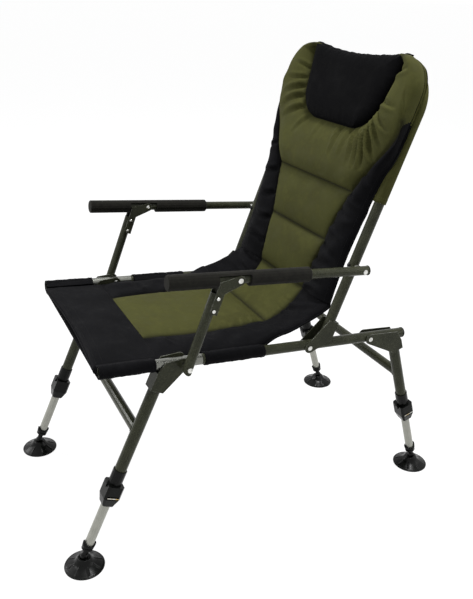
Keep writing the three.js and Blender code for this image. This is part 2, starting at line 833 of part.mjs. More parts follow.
// Sling: the cloth under the seat, sewn into sleeves on the rails
const sleeveRuns = [[-sleeveFront, -frontSleeveRear], [midSleeveFront, midSleeveRear]];
const slingSheet = new THREE.BoxGeometry(2 * slingHalfWidth, sleeveFront + midSleeveRear, cloth)
  .translate(0, (midSleeveRear - sleeveFront) / 2, -clothIn - cloth / 2);
let sling = solid(slingSheet);
for (const [from, to] of sleeveRuns) {
  const flap = new THREE.BoxGeometry(railSpacing, to - from, cloth)
    .translate(0, (from + to) / 2, -clothIn - cloth / 2);
  sling = sling.add(solid(flap));
  for (const [, sign] of sides) {
    const x = sign * railX;
    const sleeve = solid(alongY(rodZ(clothOut, from, to)).translate(x, 0, 0));
    sling = sling.add(sleeve);
  }
}
const sleeveBores = sides.map(([, sign]) => {
  const boreRod = rodZ(clothIn, -overrun - sleeveFront, midSleeveRear + overrun);
  return alongY(boreRod).translate(sign * railX, 0, 0);
});
put(seat, "seat_sling", cut(sling, ...sleeveBores), looks.black);

// Fold: the soft bend from the seat up to the back
const foldStart = seatRear + softFit;
const backFoot = (ahead) => {
  const [y, z] = turned(backSetback - ahead, backChannels[0] - softFit, -backLean - seatTurn);
  return new THREE.Vector2(backPinPlace + y, z - backPinDrop);
};
const foldPad = padded(stations(seatHalfWidth, foldSeam, seamSpread), channelShares, (u, t, top) => {
  const edge = (u / seatHalfWidth) ** rimPower;
  const half = (top ? foldThickness : -foldThickness) / 2;
  const curve = new THREE.QuadraticBezierCurve(
    new THREE.Vector2(foldStart, seatLift * edge + half),
    new THREE.Vector2(foldStart + mix(foldReach, foldEdgeReach, edge) - half, foldEdgeRise * edge + half),
    backFoot(top ? backLevels[0] : -backBehind),
  );
  const at = curve.getPoint(t);
  return [u, at.x, at.y];
});
put(seat, "fold_pad", foldPad, looks.green);

// Back cushion between the tubes below and in front of the hood above
const hoodClear = clothOut + softFit;
const backTopEdge = backChannels[backChannels.length - 1];
const widened = (z) => smooth((z - backTurnHead) / (backWidenHead - backTurnHead));
const backHalf = (z) => {
  const wide = mix(backNarrowHalf, backWideHalf, widened(z));
  const over = Math.max(0, z - backTopEdge + backRound);
  return wide - backRound + Math.sqrt(Math.max(0, backRound ** 2 - over ** 2));
};
const topSag = (u, t) => backTopSag * (1 - u * u) * smooth((t - halfShare) * 2);
const backAlong = backPuffs.flatMap((puff, i) => channelShares.slice(i ? 1 : 0).map((share) => i + share));
backAlong.splice(-1, 0, ...topShares.map((share) => backPuffs.length - 1 + share));
const backAcross = stations(1, backSeam / backNarrowHalf, seamSpread / backNarrowHalf);
const backPad = padded(backAcross, backAlong, (u, t, top) => {
  const cell = Math.min(Math.floor(t), backPuffs.length - 1);
  const z = mix(backChannels[cell], backChannels[cell + 1], t - cell);
  const puff = backPuffs[cell] * Math.max(0, Math.sin(Math.PI * (t - cell))) ** puffPower;
  const level = mix(backLevels[cell], backLevels[cell + 1], t - cell) + puff;
  const rear = mix(-backBehind, hoodClear, smooth((z - backTurnFoot) / (backTurnHead - backTurnFoot)));
  const rim = mix(halfShare, 1, round(Math.max(0, z - backTopEdge + backRound) / backRound, backRimPower));
  const off = Math.abs(u) - backSeam / backNarrowHalf;
  const seam = z < backTurnHead ? groove(off, seamDepth, seamSpread / backNarrowHalf) : 0;
  const edge = rear + mix(backEdge, backHeadEdge, widened(z)) * rim;
  const front = edge + (level - edge) * round(u, backRimPower) * rim - seam;
  return [u * backHalf(z), backSetback - (top ? front : rear), z - topSag(u, t - backPuffs.length + 1)];
});

// Head pillow, in a pocket with sloping sides in the front of the back cushion
function pillowSpot(u, t, grow) {
  const foot = pillowFoot - grow;
  const z = mix(foot, pillowTop + grow, t) - topSag(u, t);
  const low = Math.max(0, pillowCorner - (z - foot));
  const half = mix(pillowFootHalf, pillowTopHalf, t) + grow - pillowCorner
    + Math.sqrt(Math.max(0, pillowCorner ** 2 - low ** 2));
  return [u * half, z];
}
const pocket = padded([-1, 1], pillowShares, (u, t, top) => {
  const [x, z] = pillowSpot(u, t, top ? pocketFlare : softFit);
  return [x, backSetback - pillowBase + (top ? -pocketRise : softFit), z];
});
const pillow = padded(mirrored(rimShares), pillowShares, (u, t, top) => {
  const [x, z] = pillowSpot(u, t, 0);
  const front = pillowEdge + pillowRise * round(u) * round(2 * t - 1);
  return [x, backSetback - pillowBase - (top ? front : 0), z];
});
put(back, "back_cushion", solid(backPad).subtract(solid(pocket)), looks.green);
put(back, "head_pillow", pillow, looks.black);

export default root;
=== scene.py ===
# Folding padded chair: its looks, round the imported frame. Shapes are worked out in millimetres and placed
# in metres, in the frame's own axes: +Z up, the sitter faces -Y, +X is the sitter's left.
import json
import math

import bmesh
import bpy
import numpy as np
from mathutils import Matrix, Vector
from mathutils.kdtree import KDTree


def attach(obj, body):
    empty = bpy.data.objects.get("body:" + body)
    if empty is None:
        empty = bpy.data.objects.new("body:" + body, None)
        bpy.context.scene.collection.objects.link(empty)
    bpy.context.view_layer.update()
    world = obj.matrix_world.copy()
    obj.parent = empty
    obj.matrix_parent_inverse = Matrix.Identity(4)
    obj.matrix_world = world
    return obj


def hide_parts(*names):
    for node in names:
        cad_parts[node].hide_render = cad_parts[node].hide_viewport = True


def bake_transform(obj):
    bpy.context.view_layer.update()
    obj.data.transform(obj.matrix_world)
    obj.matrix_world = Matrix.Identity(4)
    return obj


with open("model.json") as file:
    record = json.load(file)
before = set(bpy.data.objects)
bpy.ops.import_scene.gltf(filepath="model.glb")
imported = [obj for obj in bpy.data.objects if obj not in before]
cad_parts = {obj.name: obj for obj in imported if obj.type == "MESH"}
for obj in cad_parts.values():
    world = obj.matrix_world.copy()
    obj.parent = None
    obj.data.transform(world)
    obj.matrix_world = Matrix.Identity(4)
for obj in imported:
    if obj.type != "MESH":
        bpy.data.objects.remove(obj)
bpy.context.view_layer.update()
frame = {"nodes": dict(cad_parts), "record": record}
MM, METRE = 0.001, 1000          # a millimetre in metres, and a metre in millimetres
SIDES = (("left", 1), ("right", -1))


# ---- places ----

class SideFrame:
    """A frame tilted in the side view: (x, y, z) in it, in millimetres, lands in the room in metres."""

    def __init__(self, y, z, degrees):
        self.y, self.z = y, z
        self.cos, self.sin = math.cos(math.radians(degrees)), math.sin(math.radians(degrees))

    def place(self, x, y, z):
        x, y, z = np.broadcast_arrays(x, y, z)
        ahead = self.y + y * self.cos - z * self.sin
        up = self.z + y * self.sin + z * self.cos
        return np.stack([x, ahead, up], -1) * MM

    def within(self, points):
        """The y and z in this frame, in millimetres, of places in the room in metres."""
        ahead, up = points[..., 1] * METRE - self.y, points[..., 2] * METRE - self.z
        return ahead * self.cos + up * self.sin, up * self.cos - ahead * self.sin


SEAT = SideFrame(-233.933, 489.7, -4.3)
BACK = SideFrame(89.903, 463.345, -20.85)
LEAN = {"front": -24.05, "rear": 17.7}
LEGS = {end: SideFrame(ball, 30, LEAN[end]) for end, ball in (("front", -478.742), ("rear", 478.742))}
TUBE = 37.5                     # the back tube's distance behind its hinge
RAIL = 250                      # half the distance between the rails
TUBE_RADIUS = 12.5              # of the rails and the back tube


def on_back(x, out, z):
    """A place by its distance in front of the back tube's centre line."""
    return BACK.place(x, TUBE - out, z)


def smooth(t):
    """From 0 to 1 with soft ends."""
    t = np.clip(t, 0, 1)
    return t * t * (3 - 2 * t)


def mix(a, b, t):
    return a + (b - a) * t


def dome(t, flat=4.0, rise=0.5):
    """1 in the middle and 0 at t = -1 and 1."""
    return np.clip(1 - np.abs(t) ** flat, 0, None) ** rise


def stations(count, ends=0.4):
    """From 0 to 1, closer together towards both ends."""
    t = np.linspace(0, 1, count)
    return (1 - ends) * t + ends * (0.5 - 0.5 * np.cos(np.pi * t))


def circle(count):
    """Angles at even steps, once round."""
    return 2 * np.pi * np.arange(count) / count


def unit(arrows):
    return arrows / np.linalg.norm(arrows, axis=1, keepdims=True)


def on_cloth(x, y):
    """Places on flat cloth, in metres, a pair for each point."""
    return np.stack(np.broadcast_arrays(x, y), -1) * MM


def ripple(p, pitch, seed):
    """An uneven wave along p."""
    rng = np.random.default_rng(seed)
    total = 0
    for share in (0.61, 1.0, 1.63, 2.7):
        wander = 1.4 * np.sin(2 * np.pi * p / (pitch * share * 3.3) + rng.uniform(0, 6.28))
        total = total + np.sin(2 * np.pi * p / (pitch * share) + wander + rng.uniform(0, 6.28))
    return total / 2.4


def lumps(x, s, size, seed, count=9):
    """Uneven soft lumps over a surface."""
    rng = np.random.default_rng(seed)
    total = 0
    for _ in range(count):
        turn, scale = rng.uniform(0, np.pi), rng.uniform(0.6, 1.7)
        along = (x * np.cos(turn) + s * np.sin(turn)) / (size * scale)
        total = total + np.sin(2 * np.pi * along + rng.uniform(0, 6.28)) * scale
    return total / count ** 0.5 / 1.1


# ---- meshes ----

def added(name, data):
    """A new object in the scene."""
    made = bpy.data.objects.new(name, data)
    bpy.context.scene.collection.objects.link(made)
    return made


def piece(name, points, faces, materials, slots=None, flat=None):
    """A mesh object at the origin. flat gives each point its place on the uncut cloth, in metres."""
    mesh = bpy.data.meshes.new(name)
    mesh.from_pydata([tuple(p) for p in points], [], [tuple(f) for f in faces])
    for material in materials:
        mesh.materials.append(material)
    if slots is not None:
        mesh.polygons.foreach_set("material_index", np.asarray(slots, np.int32))
    mesh.shade_smooth()
    if flat is not None:
        corners = np.empty(len(mesh.loops), np.int32)
        mesh.loops.foreach_get("vertex_index", corners)
        mesh.uv_layers.new(name="cloth").data.foreach_set("uv", flat[corners].astype(np.float32).ravel())
    mesh.update()
    return added(name, mesh)


def grid_faces(rows, cols, wrap=False, closed=False):
    """The quads of a grid of points; wrap joins the last column to the first, and closed the last row."""
    down, over = np.arange(rows if closed else rows - 1), np.arange(cols if wrap else cols - 1)
    i, j = np.meshgrid(down, over, indexing="ij")
    k, below = (j + 1) % cols, (i + 1) % rows
    return np.stack([i * cols + j, i * cols + k, below * cols + k, below * cols + j], -1).reshape(-1, 4)


def round_edge(rows, cols, step=1):
    """The rows and columns of the places round a grid's edge, with every step-th along its ends."""
    loop = [(0, j) for j in range(0, cols - 1, step)] + [(i, cols - 1) for i in range(rows - 1)]
    loop += [(rows - 1, j) for j in range(cols - 1, 0, -step)] + [(i, 0) for i in range(rows - 1, 0, -1)]
    return np.array(loop).T


def shell(name, front, rear, flat, materials, regions=0, rim_slot=0, bulge=3.0, rim_steps=3):
    """A closed pad: a front and a rear grid, joined round the edge by a rounded rim.

    flat is each point's place on flat cloth, and regions each quad's material."""
    rows, cols = front.shape[:2]
    size = rows * cols
    li, lj = round_edge(rows, cols)
    out = unit(front[li, lj] - front[np.clip(li, 1, rows - 2), np.clip(lj, 1, cols - 2)])
    rings = []
    for step in range(1, rim_steps + 1):
        turn = np.pi * step / (rim_steps + 1)
        share = (1 - math.cos(turn)) / 2
        rings.append(mix(front[li, lj], rear[li, lj], share) + out * bulge * MM * math.sin(turn))
    points = np.concatenate([front.reshape(-1, 3), rear.reshape(-1, 3), *rings])
    quads = grid_faces(rows, cols)
    faces = [quads, quads[:, ::-1] + size]
    count, edge = len(li), li * cols + lj
    ladder = [edge, *(2 * size + k * count + np.arange(count) for k in range(rim_steps)), size + edge]
    for a, b in zip(ladder, ladder[1:]):
        faces.append(np.stack([np.roll(a, -1), a, b, np.roll(b, -1)], -1))
    regions = np.broadcast_to(regions, (rows - 1, cols - 1)).ravel()
    slots = np.concatenate([regions, regions, np.full(count * (rim_steps + 1), rim_slot)])
    spots = flat.reshape(-1, 2)
    spots = np.concatenate([spots, spots + 0.37, *[spots[edge]] * rim_steps])
    return piece(name, points, np.concatenate(faces), materials, slots, spots)


def sweep(name, path, radius, material, sides=8, closed=False):
    """A round piping along a path of points, in metres."""
    ahead = np.roll(path, -1, 0) - np.roll(path, 1, 0)
    if not closed:
        ahead[0], ahead[-1] = path[1] - path[0], path[-1] - path[-2]
    ahead = unit(ahead)
    lead = np.array([0.0, 0.37, 0.93])
    first = unit(lead - ahead * (ahead @ lead)[:, None])
    second = np.cross(ahead, first)
    turn = circle(sides)[None, :, None]
    ring = first[:, None] * np.cos(turn) + second[:, None] * np.sin(turn)
    points = (path[:, None] + ring * radius).reshape(-1, 3)
    rows = len(path)
    faces = grid_faces(rows, sides, wrap=True, closed=closed).tolist()
    if not closed:
        faces += [list(range(sides))[::-1], [(rows - 1) * sides + k for k in range(sides)]]
    return piece(name, points, faces, [material])


def reworked(made, change):
    """Puts a piece's mesh through change, one of Blender's mesh tools."""
    work = bmesh.new()
    work.from_mesh(made.data)
    change(work)
    work.to_mesh(made.data)
    work.free()
    return made


def outward(made):
    """Turns every face of a closed piece outward."""
    return reworked(made, lambda work: bmesh.ops.recalc_face_normals(work, faces=work.faces))


def settled(made):
    """Applies what modifiers a piece has, so that a plain mesh is left."""
    view = made.evaluated_get(bpy.context.evaluated_depsgraph_get())
    mesh = bpy.data.meshes.new_from_object(view)
    made.modifiers.clear()
    made.data = mesh
    return made


class Nodes:
    """A tree of nodes: make(kind, inputs, settings) adds one and returns it."""

    def __init__(self, tree):
        self.tree = tree

    def make(self, kind, inputs=None, **settings):
        node = self.tree.nodes.new(kind)
        for key, value in settings.items():
            setattr(node, key, value)
        self.feed(node, inputs or {})
        return node

    def feed(self, node, inputs):
        for key, value in inputs.items():
            if isinstance(value, bpy.types.NodeSocket):
                self.tree.links.new(value, node.inputs[key])
            else:
                node.inputs[key].default_value = value

    def sum(self, a, b, how="ADD"):
        return self.make("ShaderNodeMath", {0: a, 1: b}, operation=how).outputs[0]

    def times(self, a, b):
        return self.sum(a, b, "MULTIPLY")

    def background_rays(self):
        """1 for rays that show the background: straight, in metal or through glass."""
        ray = self.make("ShaderNodeLightPath").outputs
        either = self.sum(ray["Is Camera Ray"], ray["Is Glossy Ray"], "MAXIMUM")
        return self.sum(either, ray["Is Transmission Ray"], "MAXIMUM")


def row_tree():
    """Geometry nodes that set small rounded shapes at even steps along lines."""
    tree = bpy.data.node_groups.new("row_along_lines", "GeometryNodeTree")
    for title, kind in (("Lines", "Geometry"), ("Step", "Float"), ("Width", "Float"), ("Length", "Float"),
                        ("Sides", "Int"), ("Finish", "Material")):
        tree.interface.new_socket(title, in_out="INPUT", socket_type="NodeSocket" + kind)
    tree.interface.new_socket("Row", in_out="OUTPUT", socket_type="NodeSocketGeometry")

    nodes = Nodes(tree)
    given = nodes.make("NodeGroupInput").outputs
    line = nodes.make("GeometryNodeMeshToCurve", {"Mesh": given["Lines"]})
    spots = nodes.make("GeometryNodeCurveToPoints", {"Curve": line.outputs[0], "Length": given["Step"]},
                       mode="LENGTH").outputs
    ball = nodes.make("GeometryNodeMeshUVSphere", {"Segments": given["Sides"], "Rings": 4, "Radius": 1.0})
    scale = nodes.make("ShaderNodeCombineXYZ", {"X": given["Width"], "Y": given["Width"], "Z": given["Length"]})
    row = nodes.make("GeometryNodeInstanceOnPoints", {
        "Points": spots["Points"], "Instance": ball.outputs["Mesh"], "Rotation": spots["Rotation"],
        "Scale": scale.outputs[0]})
    real = nodes.make("GeometryNodeRealizeInstances", {"Geometry": row.outputs[0]})
    last = nodes.make("GeometryNodeSetMaterial", {"Geometry": real.outputs[0], "Material": given["Finish"]})
    nodes.make("NodeGroupOutput", {"Row": last.outputs[0]})
    return tree


ROW = row_tree()


def row_along(name, lines, finish, step=4.6, width=0.45, length=1.65, sides=6):
    """A row of stitches, beads or heads along each line of points; sizes in millimetres."""
    points, edges = [], []
    for line in lines:
        start = len(points)
        points += [tuple(p) for p in line]
        edges += [(start + k, start + k + 1) for k in range(len(line) - 1)]
    mesh = bpy.data.meshes.new(name)
    mesh.from_pydata(points, edges, [])
    made = added(name, mesh)
    layer = made.modifiers.new("row", "NODES")
    layer.node_group = ROW
    values = {"Step": step * MM, "Width": width * MM, "Length": length * MM, "Sides": sides, "Finish": finish}
    for socket in ROW.interface.items_tree:
        if socket.name in values:
            layer[socket.identifier] = values[socket.name]
    made = settled(made)
    made.data.shade_smooth()
    return made


# ---- materials ----

def tone(code):
    """A written colour as the linear one that Blender takes."""
    parts = [int(code[i:i + 2], 16) / 255 for i in (1, 3, 5)]
    return [p / 12.92 if p <= 0.04045 else ((p + 0.055) / 1.055) ** 2.4 for p in parts] + [1.0]


class Recipe(Nodes):
    """A material round its Principled shader."""

    def __init__(self, name):
        self.material = bpy.data.materials.new(name)
        self.material.use_nodes = True
        super().__init__(self.material.node_tree)
        self.shader = next(n for n in self.tree.nodes if n.type == "BSDF_PRINCIPLED")
        self.spot = self.make("ShaderNodeTexCoord").outputs["Object"]

    def noise(self, scale, detail=3.0, rough=0.55, at=None):
        made = self.make("ShaderNodeTexNoise", {"Vector": at or self.spot, "Scale": scale, "Detail": detail,
                                                "Roughness": rough})
        return made.outputs["Fac"]

    def band(self, value, low, high, to_low=0.0, to_high=1.0):
        made = self.make("ShaderNodeMapRange", {"Value": value, "From Min": low, "From Max": high,
                                                "To Min": to_low, "To Max": to_high})
        return made.outputs["Result"]

    def blend(self, share, a, b):
        made = self.make("ShaderNodeMix", data_type="RGBA")
        self.feed(made, {0: share, 6: a, 7: b})
        return made.outputs[2]

    def dot(self, a, b):
        return self.make("ShaderNodeVectorMath", {0: a, 1: b}, operation="DOT_PRODUCT").outputs["Value"]

    def bump(self, height, strength, distance, under=None):
        inputs = {"Height": height, "Strength": strength, "Distance": distance}
        if under:
            inputs["Normal"] = under
        return self.make("ShaderNodeBump", inputs).outputs["Normal"]

    def finish(self, **inputs):
        self.feed(self.shader, {key.replace("_", " "): value for key, value in inputs.items()})
        return self.material


def woven_cloth(name, colour, deep, light, pitch=0.0011, sheen=0.1, gloss=0.1):
    """Coated polyester: a plain weave, soft mottling, painted shade along the seams and creases, and a little
    fuzz at grazing light.
    """
    r = Recipe(name)
    thread = r.make("ShaderNodeUVMap", uv_map="cloth").outputs["UV"]
    turned = r.make("ShaderNodeSeparateXYZ", {"Vector": thread})
    waves = [r.sum(r.times(turned.outputs[axis], 2 * math.pi / pitch), 0.0, "SINE") for axis in "XY"]
    weave = r.band(r.times(*waves), -1.0, 1.0)
    cloud = r.noise(9.0, 4.0)
    fine = r.noise(420.0, 2.0, 0.6)
    worn = r.noise(38.0, 5.0, 0.62)
    shade = r.blend(r.band(cloud, 0.34, 0.68), tone(deep), tone(colour))
    shade = r.blend(r.band(worn, 0.5, 0.78, 0.0, 0.45), shade, tone(light))
    shade = r.blend(r.band(weave, 0.0, 1.0, 0.0, 0.16), shade, tone(light))
    # Painted shade: the cloth is drawn darker, towards near-black, near the seams and the seat's crease, where
    # shade falls
    seam = r.make("ShaderNodeAttribute", attribute_name="seam").outputs["Fac"]
    shade = r.blend(r.times(seam, 0.8), shade, tone("#0c0c0a"))
    height = r.sum(r.times(weave, 0.6), r.times(fine, 0.5))
    crumple = r.bump(r.noise(26.0, 4.0, 0.5), 0.22, 0.0035)
    normal = r.bump(height, 0.3, 0.0004, crumple)
    return r.finish(Base_Color=shade, Roughness=r.band(worn, 0.3, 0.7, 0.66, 0.86), Normal=normal,
                    Sheen_Weight=sheen, Sheen_Roughness=0.5, Sheen_Tint=tone(light), Specular_IOR_Level=gloss)


def hammered_paint(name, bare=None):
    """Dark hammer-finish enamel: shallow dimples with a metallic fleck, worn bright along sheet edges.

    bare gives a stretch of a rail that is left unpainted, as places along the seat in millimetres."""
    r = Recipe(name)
    dimple = r.make("ShaderNodeTexVoronoi", {"Vector": r.spot, "Scale": 330.0, "Randomness": 1.0},
                    feature="SMOOTH_F1")
    fleck = r.noise(950.0, 2.0, 0.7)
    cloud = r.noise(24.0, 3.0)
    base = r.blend(r.band(cloud, 0.35, 0.65), tone("#37392c"), tone("#474938"))
    base = r.blend(r.band(dimple.outputs["Distance"], 0.1, 0.6, 0.0, 0.55), base, tone("#292a20"))
    base = r.blend(r.band(fleck, 0.56, 0.74, 0.0, 0.5), base, tone("#8b8d74"))
    soft = r.make("ShaderNodeBevel", {"Radius": 0.0011}, samples=4).outputs["Normal"]
    turn = r.dot(soft, r.make("ShaderNodeNewGeometry").outputs["Normal"])
    edge = r.times(r.band(turn, 0.97, 0.86), r.band(r.noise(70.0, 4.0), 0.42, 0.58))
    base = r.blend(edge, base, tone("#a9aaa3"))
    rough, metal = r.band(fleck, 0.3, 0.75, 0.26, 0.18), 0.04
    if bare:
        run = r.dot(r.spot, (0.0, SEAT.cos, SEAT.sin))
        zero = (SEAT.y * SEAT.cos + SEAT.z * SEAT.sin) * MM
        low, high = (place * MM + zero for place in bare)
        shown = r.times(r.band(run, low - 0.0002, low), r.band(run, high + 0.0002, high))
        base = r.blend(shown, base, tone("#7c7d77"))
        rough = r.sum(rough, r.times(shown, 0.08), "SUBTRACT")
        metal = r.band(shown, 0.0, 1.0, 0.04, 0.75)
    normal = r.bump(dimple.outputs["Distance"], 0.12, 0.0005)
    return r.finish(Base_Color=base, Roughness=rough, Normal=normal, Metallic=metal,
                    Specular_IOR_Level=0.12)


def drawn_metal(name, colour, dark, degrees):
    """Bare metal with fine lines along the tube, which leans by degrees in the side view."""
    stretch = 40.0
    r = Recipe(name)
    turned = r.make("ShaderNodeMapping", {"Vector": r.spot, "Rotation": (math.radians(-degrees), 0, 0)})
    squeezed = r.make("ShaderNodeMapping", {"Vector": turned.outputs["Vector"],
                                            "Scale": (1.0, 1.0, 1.0 / stretch)})
    line = r.noise(1300.0, 2.0, 0.6, squeezed.outputs["Vector"])
    stain = r.noise(55.0, 5.0, 0.6)
    base = r.blend(r.band(stain, 0.4, 0.7, 0.0, 0.2), tone(colour), tone(dark))
    base = r.blend(r.band(line, 0.35, 0.7, 0.0, 0.35), base, tone(dark))
    return r.finish(Base_Color=base, Roughness=r.band(line, 0.3, 0.7, 0.27, 0.44),
                    Metallic=0.55, Normal=r.bump(line, 0.16, 0.0003))


def polished_steel(name):
    """Rivet steel: bright, with faint handling marks."""
    r = Recipe(name)
    mark = r.noise(210.0, 4.0, 0.6)
    base = r.blend(r.band(mark, 0.4, 0.7), tone("#dcdcd8"), tone("#a8a8a2"))
    return r.finish(Base_Color=base, Roughness=r.band(mark, 0.35, 0.7, 0.12, 0.28), Metallic=1.0,
                    Normal=r.bump(mark, 0.08, 0.0004))


def plated_steel(name):
    """Zinc-plated plate: silver with the warm tint that yellow passivation leaves in patches."""
    r = Recipe(name)
    patch = r.noise(62.0, 3.0, 0.5)
    mark = r.noise(330.0, 3.0, 0.6)
    base = r.blend(r.band(patch, 0.44, 0.6), tone("#d2d2cc"), tone("#b99a55"))
    return r.finish(Base_Color=base, Roughness=r.band(mark, 0.3, 0.7, 0.18, 0.34), Metallic=1.0,
                    Normal=r.bump(mark, 0.12, 0.0003))


def moulded_plastic(name):
    """Glossy black nylon with a faint orange-peel skin and dulled, scuffed patches."""
    r = Recipe(name)
    peel = r.noise(240.0, 2.0, 0.5)
    scuff = r.noise(34.0, 6.0, 0.7)
    base = r.blend(r.band(scuff, 0.5, 0.72, 0.0, 0.5), tone("#0c0d0c"), tone("#191a19"))
    return r.finish(Base_Color=base, Roughness=r.band(scuff, 0.35, 0.7, 0.18, 0.4),
                    Normal=r.bump(peel, 0.12, 0.0006), Specular_IOR_Level=0.13)


def foam_rubber(name):
    """Closed-cell foam: matte, with open pores over the skin."""
    r = Recipe(name)
    pores = r.make("ShaderNodeTexVoronoi", {"Vector": r.spot, "Scale": 900.0, "Randomness": 1.0})
    cloud = r.noise(60.0, 4.0, 0.6)
    hole = r.band(pores.outputs["Distance"], 0.0, 0.45)
    base = r.blend(r.band(cloud, 0.35, 0.7), tone("#1c1b18"), tone("#262520"))
    base = r.blend(hole, tone("#161513"), base)
    return r.finish(Base_Color=base, Roughness=0.9, Normal=r.bump(hole, 0.4, 0.0005, r.bump(cloud, 0.2, 0.002)),
                    Specular_IOR_Level=0.1, Sheen_Weight=0.04, Sheen_Roughness=0.6)


PAINT = hammered_paint("hammered_paint")
RAIL_PAINT = hammered_paint("hammered_rail_paint", (-70, 46))       # bare between the sling's sleeves
STEEL = polished_steel("polished_steel")
PLATED = plated_steel("plated_steel")
PLASTIC = moulded_plastic("moulded_plastic")
FOAM = foam_rubber("foam_rubber")
GREEN = woven_cloth("olive_cloth", "#494a25", "#404020", "#5f5f36")
BLACK = woven_cloth("black_cloth", "#0f0f11", "#0b0b0d", "#1b1b1d", sheen=0.03, gloss=0.05)
PILLOW = woven_cloth("brushed_black_cloth", "#0a0a0b", "#070708", "#141416", pitch=0.0007, sheen=0.03,
                     gloss=0.03)
THREAD = woven_cloth("black_thread", "#1b1b1c", "#131314", "#2e2e30", pitch=0.0006)
OLIVE_THREAD = woven_cloth("olive_thread", "#6a6a3e", "#5a5a33", "#7c7c4c", pitch=0.0006)
ALUMINIUM = {end: drawn_metal(f"drawn_aluminium_{end}", "#a9a9a0", "#74756e", lean)
             for end, lean in LEAN.items()}

FINISHES = {"paint": PAINT, "rivet": STEEL, "plastic": PLASTIC, "foam": FOAM}
for spec in frame["record"]["subparts"]:
    node, slot = spec["node"], spec["material_slot"]
    if slot in ("green", "black"):
        continue
    if slot == "bright":
        chosen = ALUMINIUM[node.split("_")[0]]
    elif "lock_plate" in node:
        chosen = PLATED
    elif node in ("rail_left", "rail_right"):
        chosen = RAIL_PAINT
    else:
        chosen = FINISHES[slot]
    made = frame["nodes"][node]
    made.data.materials.clear()
    made.data.materials.append(chosen)
    made.data.shade_smooth()
    made.data.set_sharp_from_angle(angle=math.radians(34))


# ---- the padded mat: seat, fold and back sewn in one ----

CENTRE, BORDER = 84, 20         # cells across the green middle and across each black border
SEAMS = [BORDER, BORDER + CENTRE]
MIDDLE = slice(BORDER, BORDER + CENTRE + 1)
middle_spots = 2 * stations(CENTRE + 1, 0.35) - 1
border_spots = stations(BORDER + 1, 0.35)[1:]

# Along the seat, from the front pin: its front edge and the hem there, the black front panel's rear edge, and
# where the sides start to climb and the fold begins. Then half the seat's width, and its sides' climb.
SEAT_FRONT, HEM, PANEL_END, CLIMB_FROM, SEAT_END = -190, -171, -44, 190, 262
SEAT_HALF, CLIMB = 229.5, 30
FOLD_RUN = 165                  # the fold's length along the cloth
# Up the back, from its hinge: the seams across it, with how far each stands out, and where its top rolls over
CHANNELS, CHANNEL_LEVELS = [107, 242, 375], [8, 12, 20]
ROLL, BACK_TOP = 680, 702
BACK_CORNER = 86                # the radius of the back's top corners
GREEN_FROM, BORDER_SEAM_TOP = 538, 560          # where the borders turn green, and where their seams end
WIDEST = 269                    # half the back's width where the folded arms pass it


def across(seam):
    """Places across the seat, a row for each station: the border seams keep their own columns."""
    right = seam + border_spots * (SEAT_HALF - seam)
    return np.concatenate([-right[:, ::-1], middle_spots * seam, right], 1)


def seams_and_cloths(x, sewn, middle=0):
    """Which points are sewn along the border seams, and each quad's cloth: 0 is green and 1 is black."""
    marks = np.zeros(x.shape, bool)
    marks[:, SEAMS] = sewn
    cloths = np.ones((len(x) - 1, x.shape[1] - 1), int)
    cloths[:, BORDER:BORDER + CENTRE] = middle
    return marks, cloths


def curve(at, spots):
    """A smooth line through (place, value) spots."""
    places, values = np.array(spots, float).T
    slope = np.gradient(values, places)
    k = np.clip(np.searchsorted(places, at) - 1, 0, len(places) - 2)
    step = places[k + 1] - places[k]
    t = np.clip((at - places[k]) / step, 0, 1)
    rise = step * (slope[k] * (t - 2) * t + slope[k] + slope[k + 1] * (t - 1) * t)
    return values[k] + (3 - 2 * t) * t * t * (values[k + 1] - values[k]) + rise * t


def tucks(x, s, lines):
    """Sharp folds in the cloth, from a table of them: each is strongest where it starts."""
    x, s = np.broadcast_arrays(x, s)
    total = 0 * x
    for *places, width, depth in lines:
        a, b, c = np.array(places, float).reshape(3, 2)
        t = np.linspace(0, 1, 24)[:, None]
        run = (1 - t) ** 2 * a + 2 * t * (1 - t) * (2 * b - (a + c) / 2) + t * t * c
        gap = np.stack([x[..., None] - run[:, 0], s[..., None] - run[:, 1]], -1)
        near = np.hypot(gap[..., 0], gap[..., 1])
        k = near.argmin(-1)
        away, share = np.take_along_axis(near, k[..., None], -1)[..., 0], k / 23
        lead = c - a
        side = np.sign((x - run[k, 0]) * lead[1] - (s - run[k, 1]) * lead[0])
        fade = (1 - share) ** 0.7 * smooth(share / 0.12 + 0.35)
        valley = np.exp(-(away / width) ** 1.3)
        ridge = np.exp(-((away * side - 2.1 * width) / (1.3 * width)) ** 2)
        total = total - depth * fade * (valley - 0.6 * ridge)
    return total


# The head pillow: its foot and top up the back, its foot corners' radius, and its half width at foot and top
PILLOW_FOOT, PILLOW_TOP, PILLOW_CORNER = 516, 706, 70
PILLOW_HALVES = (146, 191)
PILLOW_SEAM = 29.5              # how far its seam stands in front of the back tube


def pillow_half(z):
    t = (z - PILLOW_FOOT) / (PILLOW_TOP - PILLOW_FOOT)
    low = np.clip(PILLOW_CORNER - (z - PILLOW_FOOT), 0, PILLOW_CORNER)
    return mix(*PILLOW_HALVES, t) - PILLOW_CORNER + np.sqrt(PILLOW_CORNER ** 2 - low ** 2)


def pillow_edge():
    """Points round the pillow's sides and foot."""
    z = PILLOW_FOOT + (PILLOW_TOP - PILLOW_FOOT) * (1 - np.cos(np.linspace(0, np.pi / 2, 70)))
    right = np.stack([pillow_half(z), z], 1)
    flat_half = PILLOW_HALVES[0] - PILLOW_CORNER
    foot = np.stack([np.linspace(-flat_half, flat_half, 60)[1:-1], np.full(58, PILLOW_FOOT)], 1)
    return np.concatenate([(right * [-1, 1])[::-1], foot, right])


EDGE_SPOTS = pillow_edge()


